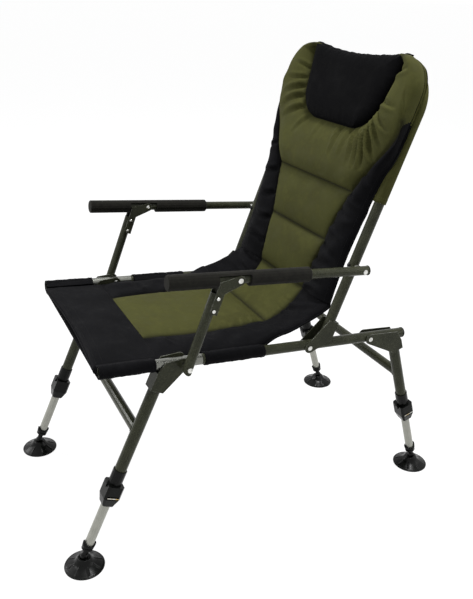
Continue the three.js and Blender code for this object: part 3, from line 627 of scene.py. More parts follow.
def from_pillow(x, z):
    """Distance outside the pillow's outline, negative within it."""
    x, z = np.broadcast_arrays(x, z)
    spots = np.stack([x.ravel(), z.ravel()], 1)
    away = np.linalg.norm(spots[:, None] - EDGE_SPOTS[None], axis=2).min(1).reshape(x.shape)
    inside = (z > PILLOW_FOOT) & (np.abs(x) < pillow_half(np.clip(z, PILLOW_FOOT, None)))
    return np.where(inside, -away, away)


def top_sag(x, z):
    """How far the back's top edge hangs down between its corners."""
    return 15 * (1 - np.clip(np.abs(x) / 180, 0, 1) ** 2) * smooth((z - 600) / 105)


# Lines up the back as (height from the hinge, place): the border seam and the edge, with their levels
SEAM_LINE = [(107, 113), (130, 116), (157, 119), (184, 123), (210, 128), (242, 133), (300, 146), (326, 155),
             (378, 173), (417, 199), (462, 227), (505, 254), (530, 265), (550, 267), (580, 261), (612, 250),
             (640, 248), (702, 248)]
EDGE_LINE = [(107, 228), (180, 226), (240, 226), (300, 231), (344, 234), (400, 241), (439, 248), (462, 256),
             (485, 262), (510, 264), (702, 264)]
SEAM_LEVEL = [(107, 9), (157, 12), (245, 16), (326, 21), (378, 24), (417, 27), (462, 30), (505, 35), (530, 39),
              (550, 43), (580, 52), (612, 57), (640, 59), (702, 58)]
EDGE_LEVEL = [(107, 9), (157, 12), (240, 15), (300, 17), (375, 18), (440, 19), (702, 21)]

# Folds in the cloth: where each starts, passes and ends, then its width and depth. The places are pairs of x
# and the height up the back, or x and the distance along the seat.
PILLOW_TUCKS = [
    (50, 512, 57, 471, 58, 432, 4.0, 4.5), (140, 512, 156, 466, 166, 425, 4.5, 5.5),
    (118, 514, 130, 470, 140, 425, 4.0, 4.5), (157, 518, 178, 462, 188, 428, 4.5, 7.5),
    (168, 530, 192, 485, 222, 452, 5.0, 9.0), (172, 546, 205, 512, 236, 486, 4.5, 7.0),
    (175, 562, 210, 541, 244, 528, 4.5, 6.0), (178, 590, 214, 584, 246, 580, 4.0, 4.0),
    (-176, 630, -196, 636, -224, 640, 4.0, 5.0), (-171, 585, -196, 572, -238, 556, 5.0, 8.0),
    (-160, 560, -192, 543, -232, 522, 5.0, 9.0), (-140, 535, -164, 517, -214, 492, 5.5, 9.0),
    (-176, 606, -204, 600, -240, 596, 4.0, 5.0), (-100, 517, -116, 490, -140, 455, 4.5, 5.0),
    (-30, 515, -34, 480, -40, 450, 5.0, 2.5), (92, 515, 96, 480, 98, 440, 4.0, 3.5),
    (178, 660, 206, 664, 236, 672, 5.0, 3.5), (-178, 672, -200, 682, -222, 686, 5.0, 3.5),
]
SEAT_TUCKS = [
    (131, 96, 108, 108, 92, 118, 3.4, 2.2), (-131, 96, -108, 108, -92, 118, 3.4, 2.2),
    (131, 140, 112, 147, 96, 156, 3.0, 2.6), (129, 178, 106, 186, 86, 196, 3.4, 3.0),
    (127, 208, 104, 214, 90, 218, 2.8, 2.6), (123, 236, 100, 240, 78, 246, 3.2, 3.2),
    (-129, 168, -104, 178, -88, 186, 3.4, 2.4), (-125, 222, -102, 226, -84, 230, 3.4, 2.8),
    (144, 4, 168, 10, 192, 22, 5.0, 3.0), (150, 92, 172, 96, 196, 112, 5.0, 3.0),
    (142, 150, 166, 160, 200, 166, 5.0, 4.0), (138, 200, 160, 214, 206, 232, 6.0, 5.0),
    (-140, 120, -164, 128, -196, 140, 5.0, 3.5), (-136, 190, -160, 206, -204, 220, 6.0, 5.0),
    (-150, 40, -172, 44, -196, 40, 5.0, 3.0), (134, 240, 150, 252, 190, 262, 5.0, 5.0),
]
# On the fold, the distance runs from 0 at the seat to FOLD_RUN at the back
FOLD_TUCKS = [
    (116, 32, 150, 44, 214, 40, 6.0, 7.0), (114, 62, 152, 78, 218, 70, 6.5, 8.0),
    (112, 92, 146, 98, 216, 118, 6.0, 7.0), (112, 124, 150, 130, 214, 150, 6.0, 6.5),
    (-116, 34, -156, 38, -216, 50, 6.0, 7.0), (-112, 74, -150, 86, -214, 80, 6.5, 8.0),
    (-112, 110, -150, 112, -214, 134, 6.0, 7.0), (-114, 146, -150, 150, -212, 160, 5.0, 5.0),
    (106, 50, 88, 58, 70, 62, 3.0, 2.8), (105, 84, 84, 88, 66, 96, 3.0, 2.8),
    (106, 118, 86, 116, 70, 122, 3.0, 2.4), (-106, 60, -86, 66, -68, 70, 3.0, 2.8),
    (-106, 104, -86, 106, -66, 112, 3.0, 2.6), (160, 20, 186, 30, 222, 24, 5.0, 5.0),
]
BORDER_TUCKS = [
    (122, 128, 160, 140, 206, 134, 6.0, 6.0), (126, 196, 158, 186, 204, 196, 6.0, 6.0),
    (134, 236, 164, 226, 210, 214, 6.0, 6.0), (146, 288, 170, 284, 216, 268, 6.0, 5.5),
    (160, 330, 186, 318, 222, 316, 5.5, 5.0), (178, 372, 202, 360, 232, 354, 5.0, 4.5),
    (-122, 150, -160, 160, -206, 150, 6.0, 6.0), (-132, 222, -160, 214, -206, 218, 6.0, 6.0),
    (-146, 290, -176, 276, -214, 280, 6.0, 5.5), (-168, 350, -196, 338, -226, 330, 5.5, 5.0),
    (206, 424, 220, 414, 238, 402, 4.5, 3.5), (-206, 420, -222, 408, -238, 398, 4.5, 3.5),
]


def loosened(x, seam):
    """How free the cloth is beside its border seam, nothing on it."""
    return smooth((np.abs(np.abs(x) - seam) - 1) / 9)


def over_border(x, seam):
    """How far out places lie on the seat's border, 0 at its seam and 1 at its edge, and which are on it."""
    return (np.abs(x) - seam) / (SEAT_HALF - seam), np.abs(x) > seam


def seat_surfaces(keep):
    """Seat: the black front panel, then the green middle between black borders."""
    foot_spots = [(SEAT_FRONT, 3.5), (PANEL_END, 1.8), (80, 1.8), (145, 3.2), (205, 5.6), (SEAT_END, 6.2)]
    seam_spots = [(PANEL_END, 123), (77, 132), (145, 130), (205, 128), (SEAT_END, 120)]
    for panel, low, high, count in ((True, SEAT_FRONT + 4, PANEL_END, 34), (False, PANEL_END, SEAT_END, 66)):
        t = stations(count)[:, None]
        seam = curve(np.maximum(mix(low, high, t), PANEL_END), seam_spots)
        x = across(seam)
        share = x / SEAT_HALF
        y = mix(SEAT_FRONT + 12 * (1 - share ** 2) if panel else low, high, t)
        climb = smooth((y - CLIMB_FROM) / (SEAT_END - CLIMB_FROM))
        lift = CLIMB * share ** 4 * climb
        if panel:
            ends = dome(2 * t - 1, 3.2, 0.55)
            puff = (6.5 * dome(share, 5, 0.6) + 1.6 * lumps(x, y, 90, 4) * dome(share, 4)) * ends
            puff = puff - 1.8 * np.exp(-((y - HEM) / 2.2) ** 2) * dome(share, 14, 0.5)
        else:
            ends = dome(2 * np.clip(t * 0.94, 0, 1) - 1, 5, 0.42)
            border, side = over_border(x, seam)
            inside = (12.0 + 0.8 * lumps(x, y, 120, 9)) * dome(x / seam, 3.4, 0.5) * ends
            outside = 11.5 * dome(2 * border - 1, 2.2, 0.55) * smooth(t * 9)
            puff = np.where(side, outside, inside)
            puff = puff + 1.6 * lumps(x, y, 52, 7) * side * dome(2 * border - 1, 2) * dome(2 * t - 1, 6)
            puff = puff + 1.5 * tucks(x, y, SEAT_TUCKS) * dome(share, 12, 0.5) * loosened(x, seam)
        foot = curve(y, foot_spots) * dome(share, 9, 0.25) + 0.6
        marks, cloths = seams_and_cloths(x, not panel, int(panel))
        marks[-1, :] = panel
        keep(SEAT.place(x, y, lift + foot + puff), SEAT.place(x, y, lift - mix(12.3, 8.0, climb)), x, y, marks,
             cloths)


def fold_surfaces(keep):
    """Fold: a bend that starts with the crease across the seat and ends at the first back seam."""
    count, crease = 48, 0.14
    t = stations(count, 0.2)[:, None]
    seam = curve(t, [(0, 120), (crease, 115), (0.32, 109.5), (0.6, 108), (0.88, 110), (1, 113)])
    x = across(seam)
    share = (x / SEAT_HALF) ** 4
    start = SEAT_END + 0.5
    points = [(start, CLIMB * share), (start + mix(84, 60, share), 46 * share), (389.7, 89.8)]
    bend = [(1 - t) ** 2 * a + 2 * t * (1 - t) * b + t * t * c for a, b, c in zip(*points)]
    lean = [2 * (1 - t) * (b - a) + 2 * t * (c - b) for a, b, c in zip(*points)]
    length = np.hypot(*lean)
    normal = (-lean[1] / length, lean[0] / length)
    border, side = over_border(x, seam)
    after = np.clip((t - crease) / (1 - crease), 0, 1)
    before = np.clip(1 - (crease - t) / 0.4, 0, 1)
    panel = np.where(t > crease, dome(2 * after - 1, 2.2, 0.5), dome(before, 2.6, 0.5))
    thick = 1.2 + 13.0 * dome(x / seam, 3.6, 0.5) * panel * ~side
    loose = dome(2 * border - 1, 2) * side
    thick = thick + 14.0 * dome(2 * border - 1, 2.2, 0.55) * side
    thick = thick + 1.6 * lumps(x * 0.8, t * 300, 46, 11) * loose
    thick = thick + tucks(x, t * FOLD_RUN, FOLD_TUCKS) * dome(x / SEAT_HALF, 12, 0.5) * loosened(x, seam)
    back = mix(8.0, 6.5, t) - 0.8 * lumps(x, t * 200, 60, 14)
    marks, cloths = seams_and_cloths(x, True)
    marks[int(np.abs(t[:, 0] - crease).argmin()), MIDDLE] = True
    skins = [SEAT.place(x, bend[0] + normal[0] * way, bend[1] + normal[1] * way)
             for way in (thick + 1.2, -back)]
    keep(*skins, x, t * FOLD_RUN, marks, cloths)


def bolster(x, z, seam, seam_level):
    """The upper back's middle: a fat bolster that dips to the pillow's seam, the seam below and the borders."""
    away = from_pillow(x, z)
    below, beside = z - CHANNELS[2], (seam - np.abs(x)) * 0.87
    bound = [(28.0, away), (18.5, below), (seam_level, beside)]
    weight = sum(1 / (np.clip(gap, 0, None) + 6) for _, gap in bound)
    low = sum(level / (np.clip(gap, 0, None) + 6) for level, gap in bound) / weight
    crest = 47 + 13 * smooth((z - 470) / 100) + 1.2 * lumps(x, z, 110, 27)
    full = [(1 - (1 - np.clip(gap / reach, 0, 1)) ** 2.2) ** steep
            for gap, reach, steep in ((away, 62, 1.0), (below, 50, 0.55), (beside, 44, 0.5))]
    full[2] = mix(full[2], 1, smooth((z - 552) / 50))
    level = low + (crest - low) * full[0] * full[1] * full[2]
    level = level + (2.1 + 0.5 * np.sign(x)) * tucks(x, z, PILLOW_TUCKS) * smooth(away / 4)
    return mix(level, 21.5, smooth((3 - away) / 9)), away


def puffed_panel(x, z, t, seam, seam_level, k):
    """The middle of one of the lower panels, puffed between its seams."""
    share = x / seam
    base = mix(mix(*CHANNEL_LEVELS[k:k + 2], t), seam_level, share ** 2)
    cell = dome(2 * t - 1, 2.3, 0.5)
    level = base - 1.5 + (18.0 + 0.9 * lumps(x, z, 110, 25 + k)) * cell * dome(share, 3.8, 0.5)
    near = np.exp(-(seam - np.abs(x)) / 16) * dome(2 * t - 1, 4)
    return level + 0.9 * ripple(z + 60 * np.sign(x), 17, 25 + k) * near


def back_surfaces(keep):
    """Back: two puffed panels between borders, then the upper one, a fat bolster round the pillow."""
    for k, count in enumerate((36, 36, 96)):
        t = stations(count)[:, None]
        upper = k == 2
        z = mix(CHANNELS[k], ROLL if upper else CHANNELS[k + 1], t)
        if upper:
            turn = np.radians(np.linspace(0, 125, 13)[1:])
            z = np.concatenate([z, ROLL + (BACK_TOP - ROLL) * np.sin(turn)[:, None]])
        line = np.maximum.accumulate(z)
        over = np.clip(line - BACK_TOP + BACK_CORNER, 0, BACK_CORNER)
        corner = BACK_CORNER - np.sqrt(BACK_CORNER ** 2 - over ** 2)
        seam, edge = curve(line, SEAM_LINE) - corner, curve(line, EDGE_LINE) - corner
        seam_level, edge_level = curve(line, SEAM_LEVEL), curve(line, EDGE_LEVEL)
        x = middle_spots * seam
        if upper:
            level, away = bolster(x, z, seam, seam_level)
        else:
            level = puffed_panel(x, z, t, seam, seam_level, k)

        # Each border, from its seam round the side to the edge
        fat = smooth((line - 440) / 110)
        b = border_spots
        width, rise = edge - seam, edge_level - seam_level
        ahead = (mix(width / 4, 17, fat), mix(rise / 3 + 24, 0.5, fat))
        behind = (mix(-width / 8, 14, fat), mix(26 - rise / 3, 17, fat))
        out = [3 * b * (1 - b) ** 2 * ahead[i] + 3 * b * b * (1 - b) * (end + behind[i]) + b ** 3 * end
               for i, end in enumerate((width, rise))]
        give = 7
        free = WIDEST - give
        wide = seam + out[0]
        wide = np.where(wide > free, free + give * np.tanh((wide - free) / give), wide)
        loose = dome(2 * b - 1, 2) * (1 - fat)
        left, right = (seam_level + out[1] + 1.6 * lumps(sign * wide * 1.2, z, 62, 21) * loose
                       + 1.8 * tucks(sign * wide, z, BORDER_TUCKS) * dome(2 * b - 1, 6) * (1 - fat)
                       for sign in (-1, 1))
        x = np.concatenate([-wide[:, ::-1], x, wide], 1)
        level = np.concatenate([left[:, ::-1], level, right], 1)
        if upper:
            last = level[count - 1]
            for i, angle in enumerate(turn, count):
                dip = math.cos(angle)
                level[i] = 38 + (last - 38 if dip > 0 else np.minimum(last - 16, 20)) * dip

        # The rear face lies against the frame, and the hood's panel behind it
        free_to, covered_from = 318, 362
        behind_hood = smooth((z - free_to) / (covered_from - free_to))
        deep = mix(-5, 15.5, behind_hood)
        rear = np.where(z < covered_from, mix(edge_level - 5, deep, dome(x / edge, 7, 0.5)), deep)
        rear = mix(rear, deep, behind_hood)
        lower = np.where(z > ROLL, ROLL + (line - ROLL) * 0.8, z)
        sag = top_sag(x, z) if upper else 0
        marks, cloths = seams_and_cloths(x, z < BORDER_SEAM_TOP)
        marks[0, MIDDLE] = True
        if upper:
            marks[:, MIDDLE] |= np.abs(away) < 2
            steps = np.concatenate([border_spots[::-1], np.zeros(CENTRE), border_spots])
            cloths[steps < (line[:-1] - GREEN_FROM) / 24] = 0
        keep(on_back(x, level, z - sag), on_back(x, rear, lower - sag), x, z - CHANNELS[k], marks, cloths)


def mat_surfaces():
    """The mat's front and rear as grids, its place on flat cloth, its sewn points and each quad's cloth."""
    blocks = []

    def keep(front, rear, x, s, marks, cloths):
        run = blocks[-1][2][-1, 0, 1] * METRE if blocks else 0.0
        blocks.append((front, rear, on_cloth(x, run + s - s.min()), marks, cloths))

    seat_surfaces(keep)
    fold_surfaces(keep)
    back_surfaces(keep)
    joined = [np.concatenate([b[i][:-1] for b in blocks[:-1]] + [blocks[-1][i]]) for i in range(4)]
    return (*joined, np.concatenate([b[4] for b in blocks]))


def seam_shadow(made, spots, reach):
    """Marks how near each point is to a seam, where the cloth lies pinched, for the painted shade that the
    cloth material draws there; reach in millimetres.
    """
    tree = KDTree(len(spots))
    for k, spot in enumerate(spots):
        tree.insert(spot, k)
    tree.balance()
    near = [math.exp(-(tree.find(v.co)[2] / (reach * MM)) ** 1.5) for v in made.data.vertices]
    made.data.attributes.new("seam", "FLOAT", "POINT").data.foreach_set("value", near)


front, rear, flat, sewn, mat_cloths = mat_surfaces()
mat = shell("padded_mat", front, rear, flat, [GREEN, BLACK], mat_cloths, rim_slot=1)
seam_shadow(mat, front[sewn], 7.5)
FOLD_FROM = tuple(SEAT.place(0, SEAT_END, 0))
FOLD_TO = tuple(on_back(0, 0, 110))
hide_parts("seat_cushion", "fold_pad", "back_cushion")
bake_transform(mat)


def mat_stitches():
    """Topstitching: on both borders next to their seams, round the edge, and across the front."""
    cols = front.shape[1]
    along, up = SEAT.within(front[:, BORDER])[0], BACK.within(front[:, BORDER])[1]
    first, hem = int(np.argmax(along > PANEL_END)), int(np.argmax(along > HEM))
    last = int(np.argmax(up > 540))
    lines = [front[first + 1:last, j] for j in (BORDER - 2, BORDER + CENTRE + 2)]
    lines += [front[2:last, j] for j in (3, cols - 4)]
    lines += [front[i, 3:cols - 3] for i in (hem - 2, hem + 2, first - 2)]
    made = row_along("mat_stitches", lines, THREAD)
    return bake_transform(made)


mat_stitches()


# ---- the head pillow ----

def head_pillow():
    """A cushion in a fitted cover: plump, its seam sunk between the mat's bolsters."""
    rows, cols = 72, 108
    t, u = stations(rows, 0.6)[:, None], 2 * stations(cols, 0.6)[None] - 1
    line = mix(PILLOW_FOOT, PILLOW_TOP, t)
    half = pillow_half(line)
    x = u * half
    z = line - top_sag(x, line) + 1.0 * ripple(x, 16, 41) * smooth((t - 0.93) / 0.07)
    inside = np.minimum(half - np.abs(x), np.minimum(line - PILLOW_FOOT, 1.3 * (PILLOW_TOP - line)))
    full = np.sqrt(1 - (1 - np.clip(inside / 58, 0, 1)) ** 2.6)
    gather = 1.6 * ripple(x, 15, 42) * np.exp(-(PILLOW_TOP - line) / 12) * dome(u, 8)
    gather = gather + 0.8 * ripple(line, 22, 43) * np.exp(-(1 - np.abs(u)) * 10) * dome(2 * t - 1, 4)
    gather = gather + 0.7 * ripple(x, 24, 45) * np.exp(-(line - PILLOW_FOOT) / 16) * dome(u, 6)
    front = PILLOW_SEAM + (23 + 0.9 * lumps(x, z, 120, 44)) * full + gather * smooth(inside / 6)
    face = on_back(x, front, z)
    made = shell("head_pillow_cover", face, on_back(x, 24.2, z), on_cloth(x, z), [PILLOW], bulge=2.2,
                 rim_steps=4)
    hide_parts("head_pillow")
    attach(made, "back")
    top = int(np.argmax(line[:, 0] > PILLOW_TOP - 10))
    stitched = row_along("pillow_stitches", [face[top, 4:-4]], THREAD)
    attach(stitched, "back")
    x, z = EDGE_SPOTS[EDGE_SPOTS[:, 1] < PILLOW_TOP - 4].T
    path = on_back(x, PILLOW_SEAM, z - top_sag(x, z))
    piping = outward(sweep("pillow_piping", path, 1.7 * MM, PILLOW, sides=10))
    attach(piping, "back")


head_pillow()


# ---- the hood over the back's top ----

def thickened(made, depth):
    """Gives an open cloth surface its thickness, inward."""
    layer = made.modifiers.new("thickness", "SOLIDIFY")
    layer.thickness, layer.offset = depth * MM, -1
    return settled(made)


def back_hood():
    """A cloth pocket pulled down over the bent tube: sleeves at its sides and slack panels between."""
    rows, cols = 84, 124
    foot, top, half, bend, wrapped = 375, 695, 265, 107, 15         # bend and wrapped are radii
    s, c = np.linspace(0, 1, rows)[:, None], np.linspace(-1, 1, cols)[None]
    z = foot + (top - foot) * np.sin(np.pi / 2 * s)
    corner = np.clip(z - (top - bend), 0, bend)
    x = np.sin(np.pi / 2 * c) * (half - bend + np.sqrt(bend ** 2 - corner ** 2))
    out, up = np.abs(x) - (half - bend), z - (top - bend)
    inside = np.minimum(half - np.abs(x), top - z)
    inside = np.where((out > 0) & (up > 0), bend - np.hypot(out, up), inside).clip(0)
    wrap = np.sqrt(wrapped ** 2 - (wrapped - np.clip(inside, 0, wrapped)) ** 2)
    loose = smooth((inside - 26) / 30)
    hem = 0.5 * smooth((foot + 15 - z) / 3)
    edge = smooth(inside / 10)
    drape = 2.2 * ripple(x + 0.2 * z, 86, 51) + 1.3 * lumps(x, z, 110, 52)
    tuck = 0.7 * ripple(z, 26, 53) * np.exp(-((inside - 30) / 14) ** 2) * edge
    rear = -(wrap + hem * edge - loose * (3.0 + drape) + tuck)
    front = wrap - loose * 1.8 - 0.4 * edge
    faces = [on_back(x, out, z) for out in (front, rear)]
    quads = grid_faces(rows, cols)
    spots = on_cloth(x, z).reshape(-1, 2)
    made = piece("back_hood_cloth", np.stack(faces).reshape(-1, 3),
                 np.concatenate([quads, quads[:, ::-1] + rows * cols]), [GREEN],
                 flat=np.concatenate([spots, spots + 0.9]))
    reworked(made, lambda work: bmesh.ops.remove_doubles(work, verts=work.verts, dist=2e-5))
    made = thickened(made, 1.1)
    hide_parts("back_hood")
    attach(made, "back")
    hem_row = int(np.argmax(z[:, 0] > foot + 12))
    stitched = row_along("hood_stitches", [face[hem_row, 1:-1] for face in faces], OLIVE_THREAD)
    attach(stitched, "back")


back_hood()


# ---- the sling under the seat, with its sleeves on the rails ----

def together(name, parts):
    """Joins pieces into one object."""
    with bpy.context.temp_override(active_object=parts[0], selected_editable_objects=parts):
        bpy.ops.object.join()
    parts[0].name = name
    return parts[0]


SLING_FRONT, SLING_REAR = -188, 204
SLEEVES = {"front": (SLING_FRONT, -63.5), "middle": (53, SLING_REAR)}
SLEEVE_INSIDE, SLEEVE_OUTSIDE, HEM_THREAD = 12.95, 14.5, 15.2         # radii round the rail


def rail_sleeve(name, sign, low, high, seed):
    """A cloth sleeve round a rail: closed thin cloth, with turned hems and soft cross wrinkles."""
    rows, around = 46, 40
    y = mix(low, high, stations(rows, 0.5))[:, None]
    turn = circle(around)
    hem = smooth(1 - (np.minimum(y - low, high - y) - 9) / 2)
    wave = ripple(y + 6 * np.sin(turn + seed), 21, seed) * dome(2 * (y - low) / (high - low) - 1, 6)
    outer = SLEEVE_OUTSIDE + 0.45 * hem + 0.5 * wave + 0.35 * np.sin(2 * turn + seed + y / 30)
    radius = np.concatenate([outer, np.full((rows, around), SLEEVE_INSIDE)])
    y = np.concatenate([y, y[::-1]])
    points = SEAT.place(sign * (RAIL + np.cos(turn) * radius), y, np.sin(turn) * radius)
    faces = grid_faces(2 * rows, around, wrap=True, closed=True)
    spots = on_cloth(turn * SLEEVE_OUTSIDE, y)
    return outward(piece(name, points.reshape(-1, 3), faces, [BLACK], flat=spots.reshape(-1, 2)))


def sleeve_lap(name, left, right):
    """A thin closed strip of cloth between two lines of points."""
    t = np.linspace(0, 1, 7)[None, :, None]
    top = left[:, None] * (1 - t) + right[:, None] * t
    rows, cols = top.shape[:2]
    flat = np.stack(np.meshgrid(np.arange(cols) * 0.004, np.arange(rows) * 0.004), -1)
    return outward(shell(name, top, top - [0, 0, 1.2 * MM], flat, [BLACK], bulge=0.3, rim_steps=1))


def seat_sling():
    """The cloth under the mat: a slack panel, cut out at the sides where the struts pass, and its sleeves."""
    rows, cols = 70, 40
    y = mix(SLING_FRONT, SLING_REAR, np.linspace(0, 1, rows))[:, None]
    cut = smooth((y + 66) / 10) * smooth((56 - y) / 10)
    x = np.linspace(-1, 1, cols) * mix(249, 224, cut)
    sag = -SLEEVE_INSIDE - (0.9 + 0.5 * lumps(x, y, 90, 61)) * dome(x / RAIL, 2)
    parts = [shell("seat_sling_cloth", SEAT.place(x, y, sag), SEAT.place(x, y, sag - 1.3), on_cloth(x, y),
                   [BLACK], bulge=0.4, rim_steps=1)]
    hems = []
    around = np.linspace(0, 2 * np.pi, 49)
    for where, (low, high) in SLEEVES.items():
        for side, sign in SIDES:
            parts.append(rail_sleeve(f"{where}_sleeve_{side}", sign, low, high, 70 + len(parts)))
            hems += [SEAT.place(sign * RAIL + HEM_THREAD * np.cos(around), hem, HEM_THREAD * np.sin(around))
                     for hem in (low + 7.5, high - 7.5)]
            run = np.linspace(low + 1, high - 1, 40)
            onto = SEAT.place(sign * (RAIL - 8.6), run, 11.9)
            edge = SEAT.place(sign * 227.5, run, 6.4 + 0.4 * ripple(run, 23, 80 + len(parts)))
            parts.append(sleeve_lap(f"{where}_lap_{side}", onto, edge))
    made = together("seat_sling_cloth", parts)
    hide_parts("seat_sling")
    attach(made, "seat_frame")
    stitched = row_along("sleeve_stitches", hems, THREAD)
    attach(stitched, "seat_frame")


seat_sling()


# ---- bound edges ----

def mat_binding():
    """The tape that binds the mat all round: black, and green round the upper back."""
    rows, cols = front.shape[:2]
    i, j = round_edge(rows, cols, 2)
    out = unit(front[i, j] - front[np.clip(i, 2, rows - 3), np.clip(j, 3, cols - 4)])
    path = (front[i, j] + rear[i, j]) / 2 + out * 2.4 * MM
    for _ in range(3):
        path = (np.roll(path, 1, 0) + 2 * path + np.roll(path, -1, 0)) / 4
    made = outward(sweep("mat_binding", path, 2.9 * MM, BLACK, sides=8, closed=True))
    made.data.materials.append(GREEN)
    for face in made.data.polygons:
        face.material_index = int(BACK.within(np.array(face.center))[1] > 556)
    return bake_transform(made)


mat_binding()


# ---- feet and ankles ----

def turned_piece(name, profile, x, place, around=96, ridge=None):
    """A closed turned shape from (radius, height) pairs, its first and last on the axis."""
    profile = np.array(profile, float)
    turn = circle(around)
    radius, height = profile[1:-1, :1], profile[1:-1, 1:]
    if ridge:
        height = height + ridge(radius, turn)
    points = place(x + radius * np.cos(turn), radius * np.sin(turn), height).reshape(-1, 3)
    tips = place(x, 0, profile[[0, -1], 1])
    rows = len(profile) - 2
    faces = grid_faces(rows, around, wrap=True).tolist()
    first, last, end = rows * around, rows * around + 1, (rows - 1) * around
    for k in range(around):
        faces.append([first, (k + 1) % around, k])
        faces.append([last, end + k, end + (k + 1) % around])
    made = piece(name, np.concatenate([points, tips]), faces, [PLASTIC])
    outward(made)
    made.data.set_sharp_from_angle(angle=math.radians(42))
    return made


# A foot's section, from its sole up over the rim to its socket; the ring where its upper side starts
UPPER_SIDE = 9
FOOT = [(0, 1.6), (18, 1.6), (40, 1.6), (42, 0.2), (45.6, 0), (46.8, 0.8), (47, 2.2), (46.2, 3.4), (44.6, 4.0),
        (43, 4.2), (41, 5.3), (38, 6.9), (34.5, 8.6), (31, 10.4), (27.5, 12.3), (24.5, 14.2), (22, 16.6),
        (19.8, 19.4), (17.8, 22.2), (16.2, 24.4), (15, 25.7), (14.0, 26.1), (10.2, 26.1), (9.2, 25.6),
        (8.6, 24.9), (6.6, 22.7), (3.4, 20.8), (0, 20.2)]


def foot_ribs(radius, turn):
    """Eight low ribs from the hub to the rim."""
    step = math.pi / 4
    off = (turn + step / 2) % step - step / 2
    window = smooth((radius - 20) / 6) * smooth((45 - radius) / 4)
    upper = np.arange(len(radius))[:, None] >= UPPER_SIDE
    return 1.5 * np.exp(-(radius * off / 1.5) ** 2) * window * upper * (radius > 19)


def feet():
    """The four feet, flat on the floor, and the cuffs over them."""
    for end, leg in LEGS.items():
        for side, sign in SIDES:
            place = SideFrame(leg.y, 0, 0).place
            made = turned_piece(f"{end}_foot_pad_{side}", FOOT, sign * RAIL, place, 144, foot_ribs)
            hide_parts(f"{end}_foot_{side}")
            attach(made, f"{end}_foot_{side}")
            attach(ankle_prongs(end, side, sign, leg), f"{end}_inner_{side}")


def ankle_prongs(end, side, sign, leg):
    """The split cuff that clips the ankle to the inner leg, raised in a prong in front and behind."""
    around = 48
    turn = circle(around)
    prong = np.abs(np.sin(turn)) ** 6
    top = 34.2 + 6.0 * prong
    rings = [(13.75, 25), (14.3, 29), (14.6 + 0.9 * prong, top), (13.1 + 1.0 * prong, top + 0.4), (12.0, 33.2),
             (13.4, 33.0), (13.62, 25)]
    points = np.concatenate([leg.place(sign * RAIL + r * np.cos(turn), r * np.sin(turn), z) for r, z in rings])
    faces = grid_faces(len(rings), around, wrap=True, closed=True)
    made = outward(piece(f"{end}_ankle_cuff_{side}", points, faces, [PLASTIC]))
    return made


feet()


# ---- rivet heads and weld beads ----

STRUT = SideFrame(-233.708, 492.692, -20.3)
STRUT_SIDE = 287.5              # how far to the side the struts stand
STRUT_RIVETS = (141, 170)       # how far up the struts their rivets are
BRACKET_HALF = 15               # half the width of a strut's bracket
CROSSBARS = {"front": 337.4, "rear": 307.2}         # how far up the legs each crossbar is
BUTTON_UP = 216.5               # how far up the back the buttons are


def strut_rivets(side, sign):
    """The four domed heads of the two rivets that hold the bracket on the strut."""
    lines = [STRUT.place(sign * STRUT_SIDE + way * np.array([BRACKET_HALF, BRACKET_HALF + 0.3]), 3.0, height)
             for height in STRUT_RIVETS for way in (1, -1)]
    made = row_along(f"strut_rivets_{side}", lines, STEEL, step=10, width=4.7, length=1.9, sides=16)
    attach(made, f"strut_{side}")


def crossbar_beads(end, leg):
    """The weld bead round each end of the crossbar, where it meets the leg."""
    turn, bar, tube = np.linspace(0, 2 * np.pi, 65), 12.7, 14.4
    ahead, up = bar * np.cos(turn), CROSSBARS[end] + bar * np.sin(turn)
    lines = [leg.place(sign * (RAIL - np.sqrt(tube ** 2 - ahead ** 2)), ahead, up) for _, sign in SIDES]
    made = row_along(f"{end}_crossbar_beads", lines, PAINT, step=2.1, width=1.7, length=1.5, sides=8)
    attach(made, f"{end}_legs")


def stop_button(side, sign):
    """The small rubber button on the back tube's front, over the arm."""
    profile = [(0, -1.5), (4.6, -1.5), (4.8, 1.0), (4.4, 2.6), (3.2, 3.6), (0, 4.0)]

    def place(u, v, w):
        return BACK.place(sign * RAIL + u, TUBE - TUBE_RADIUS - w, BUTTON_UP + v)

    made = turned_piece(f"stop_button_{side}", profile, 0, place, 32)
    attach(made, "back")


for side, sign in SIDES:
    strut_rivets(side, sign)
    stop_button(side, sign)
for end, leg in LEGS.items():
    crossbar_beads(end, leg)


# ---- floor, light and camera ----

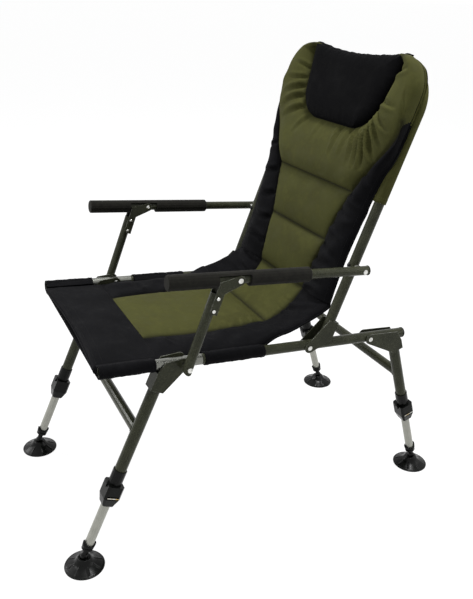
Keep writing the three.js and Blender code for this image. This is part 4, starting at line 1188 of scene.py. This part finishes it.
def stage():
    """The floor and the world, the four lamps and the camera."""
    far = 200
    mesh = bpy.data.meshes.new("floor")
    mesh.from_pydata([(-far, -far, 0), (far, -far, 0), (far, far, 0), (-far, far, 0)], [], [(0, 1, 2, 3)])
    r = Recipe("pale_floor")
    glow = r.make("ShaderNodeEmission", {"Color": (1, 1, 1, 1), "Strength": 1.2})
    r.finish(Base_Color=tone("#e9e9e7"), Roughness=0.9)
    both = r.make("ShaderNodeMixShader", {0: r.times(r.background_rays(), 0.78),
                                          1: r.shader.outputs[0], 2: glow.outputs[0]})
    r.feed(next(n for n in r.tree.nodes if n.type == "OUTPUT_MATERIAL"), {"Surface": both.outputs[0]})
    mesh.materials.append(r.material)
    floor = added("floor", mesh)

    scene = bpy.context.scene
    scene.world = scene.world or bpy.data.worlds.new("studio")
    scene.world.use_nodes = True
    sky = Nodes(scene.world.node_tree)
    sky.tree.nodes.clear()
    shade = sky.make("ShaderNodeBackground", {"Color": (0.93, 0.96, 1.0, 1), "Strength": 0.2})
    white = sky.make("ShaderNodeBackground", {"Color": (1, 1, 1, 1)})
    choose = sky.make("ShaderNodeMixShader", {0: sky.background_rays(), 1: shade.outputs[0],
                                              2: white.outputs[0]})
    sky.make("ShaderNodeOutputWorld", {0: choose.outputs[0]})

    for name, spot, aim, size, power in (
        ("softbox_above", (0.5, 0.7, 4.8), (0, 0, 0.5), 1.0, 138),
        ("softbox_side", (-2.2, -1.9, 2.0), (0, 0, 0.55), 0.8, 34),
        ("softbox_front", (-0.7, -3.0, 2.3), (0, 0, 0.55), 0.22, 24),
        ("softbox_rear", (1.4, 2.6, 2.0), (0, 0.1, 0.7), 1.2, 16),
    ):
        data = bpy.data.lights.new(name, "AREA")
        data.size, data.energy = size, power
        lamp = added(name, data)
        lamp.location = spot
        lamp.rotation_euler = (Vector(aim) - Vector(spot)).to_track_quat("-Z", "Y").to_euler()

    scene.view_settings.view_transform = "Standard"
    # The camera, solved from the photo; focal length and picture height are in the photo's pixels
    focal, photo_height = 689.56, 599
    data = bpy.data.cameras.new("camera")
    data.sensor_width = 36
    data.lens = focal / photo_height * 36
    yaw, pitch, roll = 1.100158, -0.418152, 0.033341
    ahead = Vector((-math.sin(yaw) * math.cos(pitch), math.cos(yaw) * math.cos(pitch), math.sin(pitch)))
    level = ahead.cross(Vector((0, 0, 1))).normalized()
    up = level.cross(ahead)
    right = level * math.cos(roll) + up * math.sin(roll)
    top = up * math.cos(roll) - level * math.sin(roll)
    turn = Matrix((right, top, -ahead)).transposed()
    scene.camera = added("camera", data)
    scene.camera.matrix_world = Matrix.Translation((1.4866, -0.7329, 1.2340)) @ turn.to_4x4()


stage()
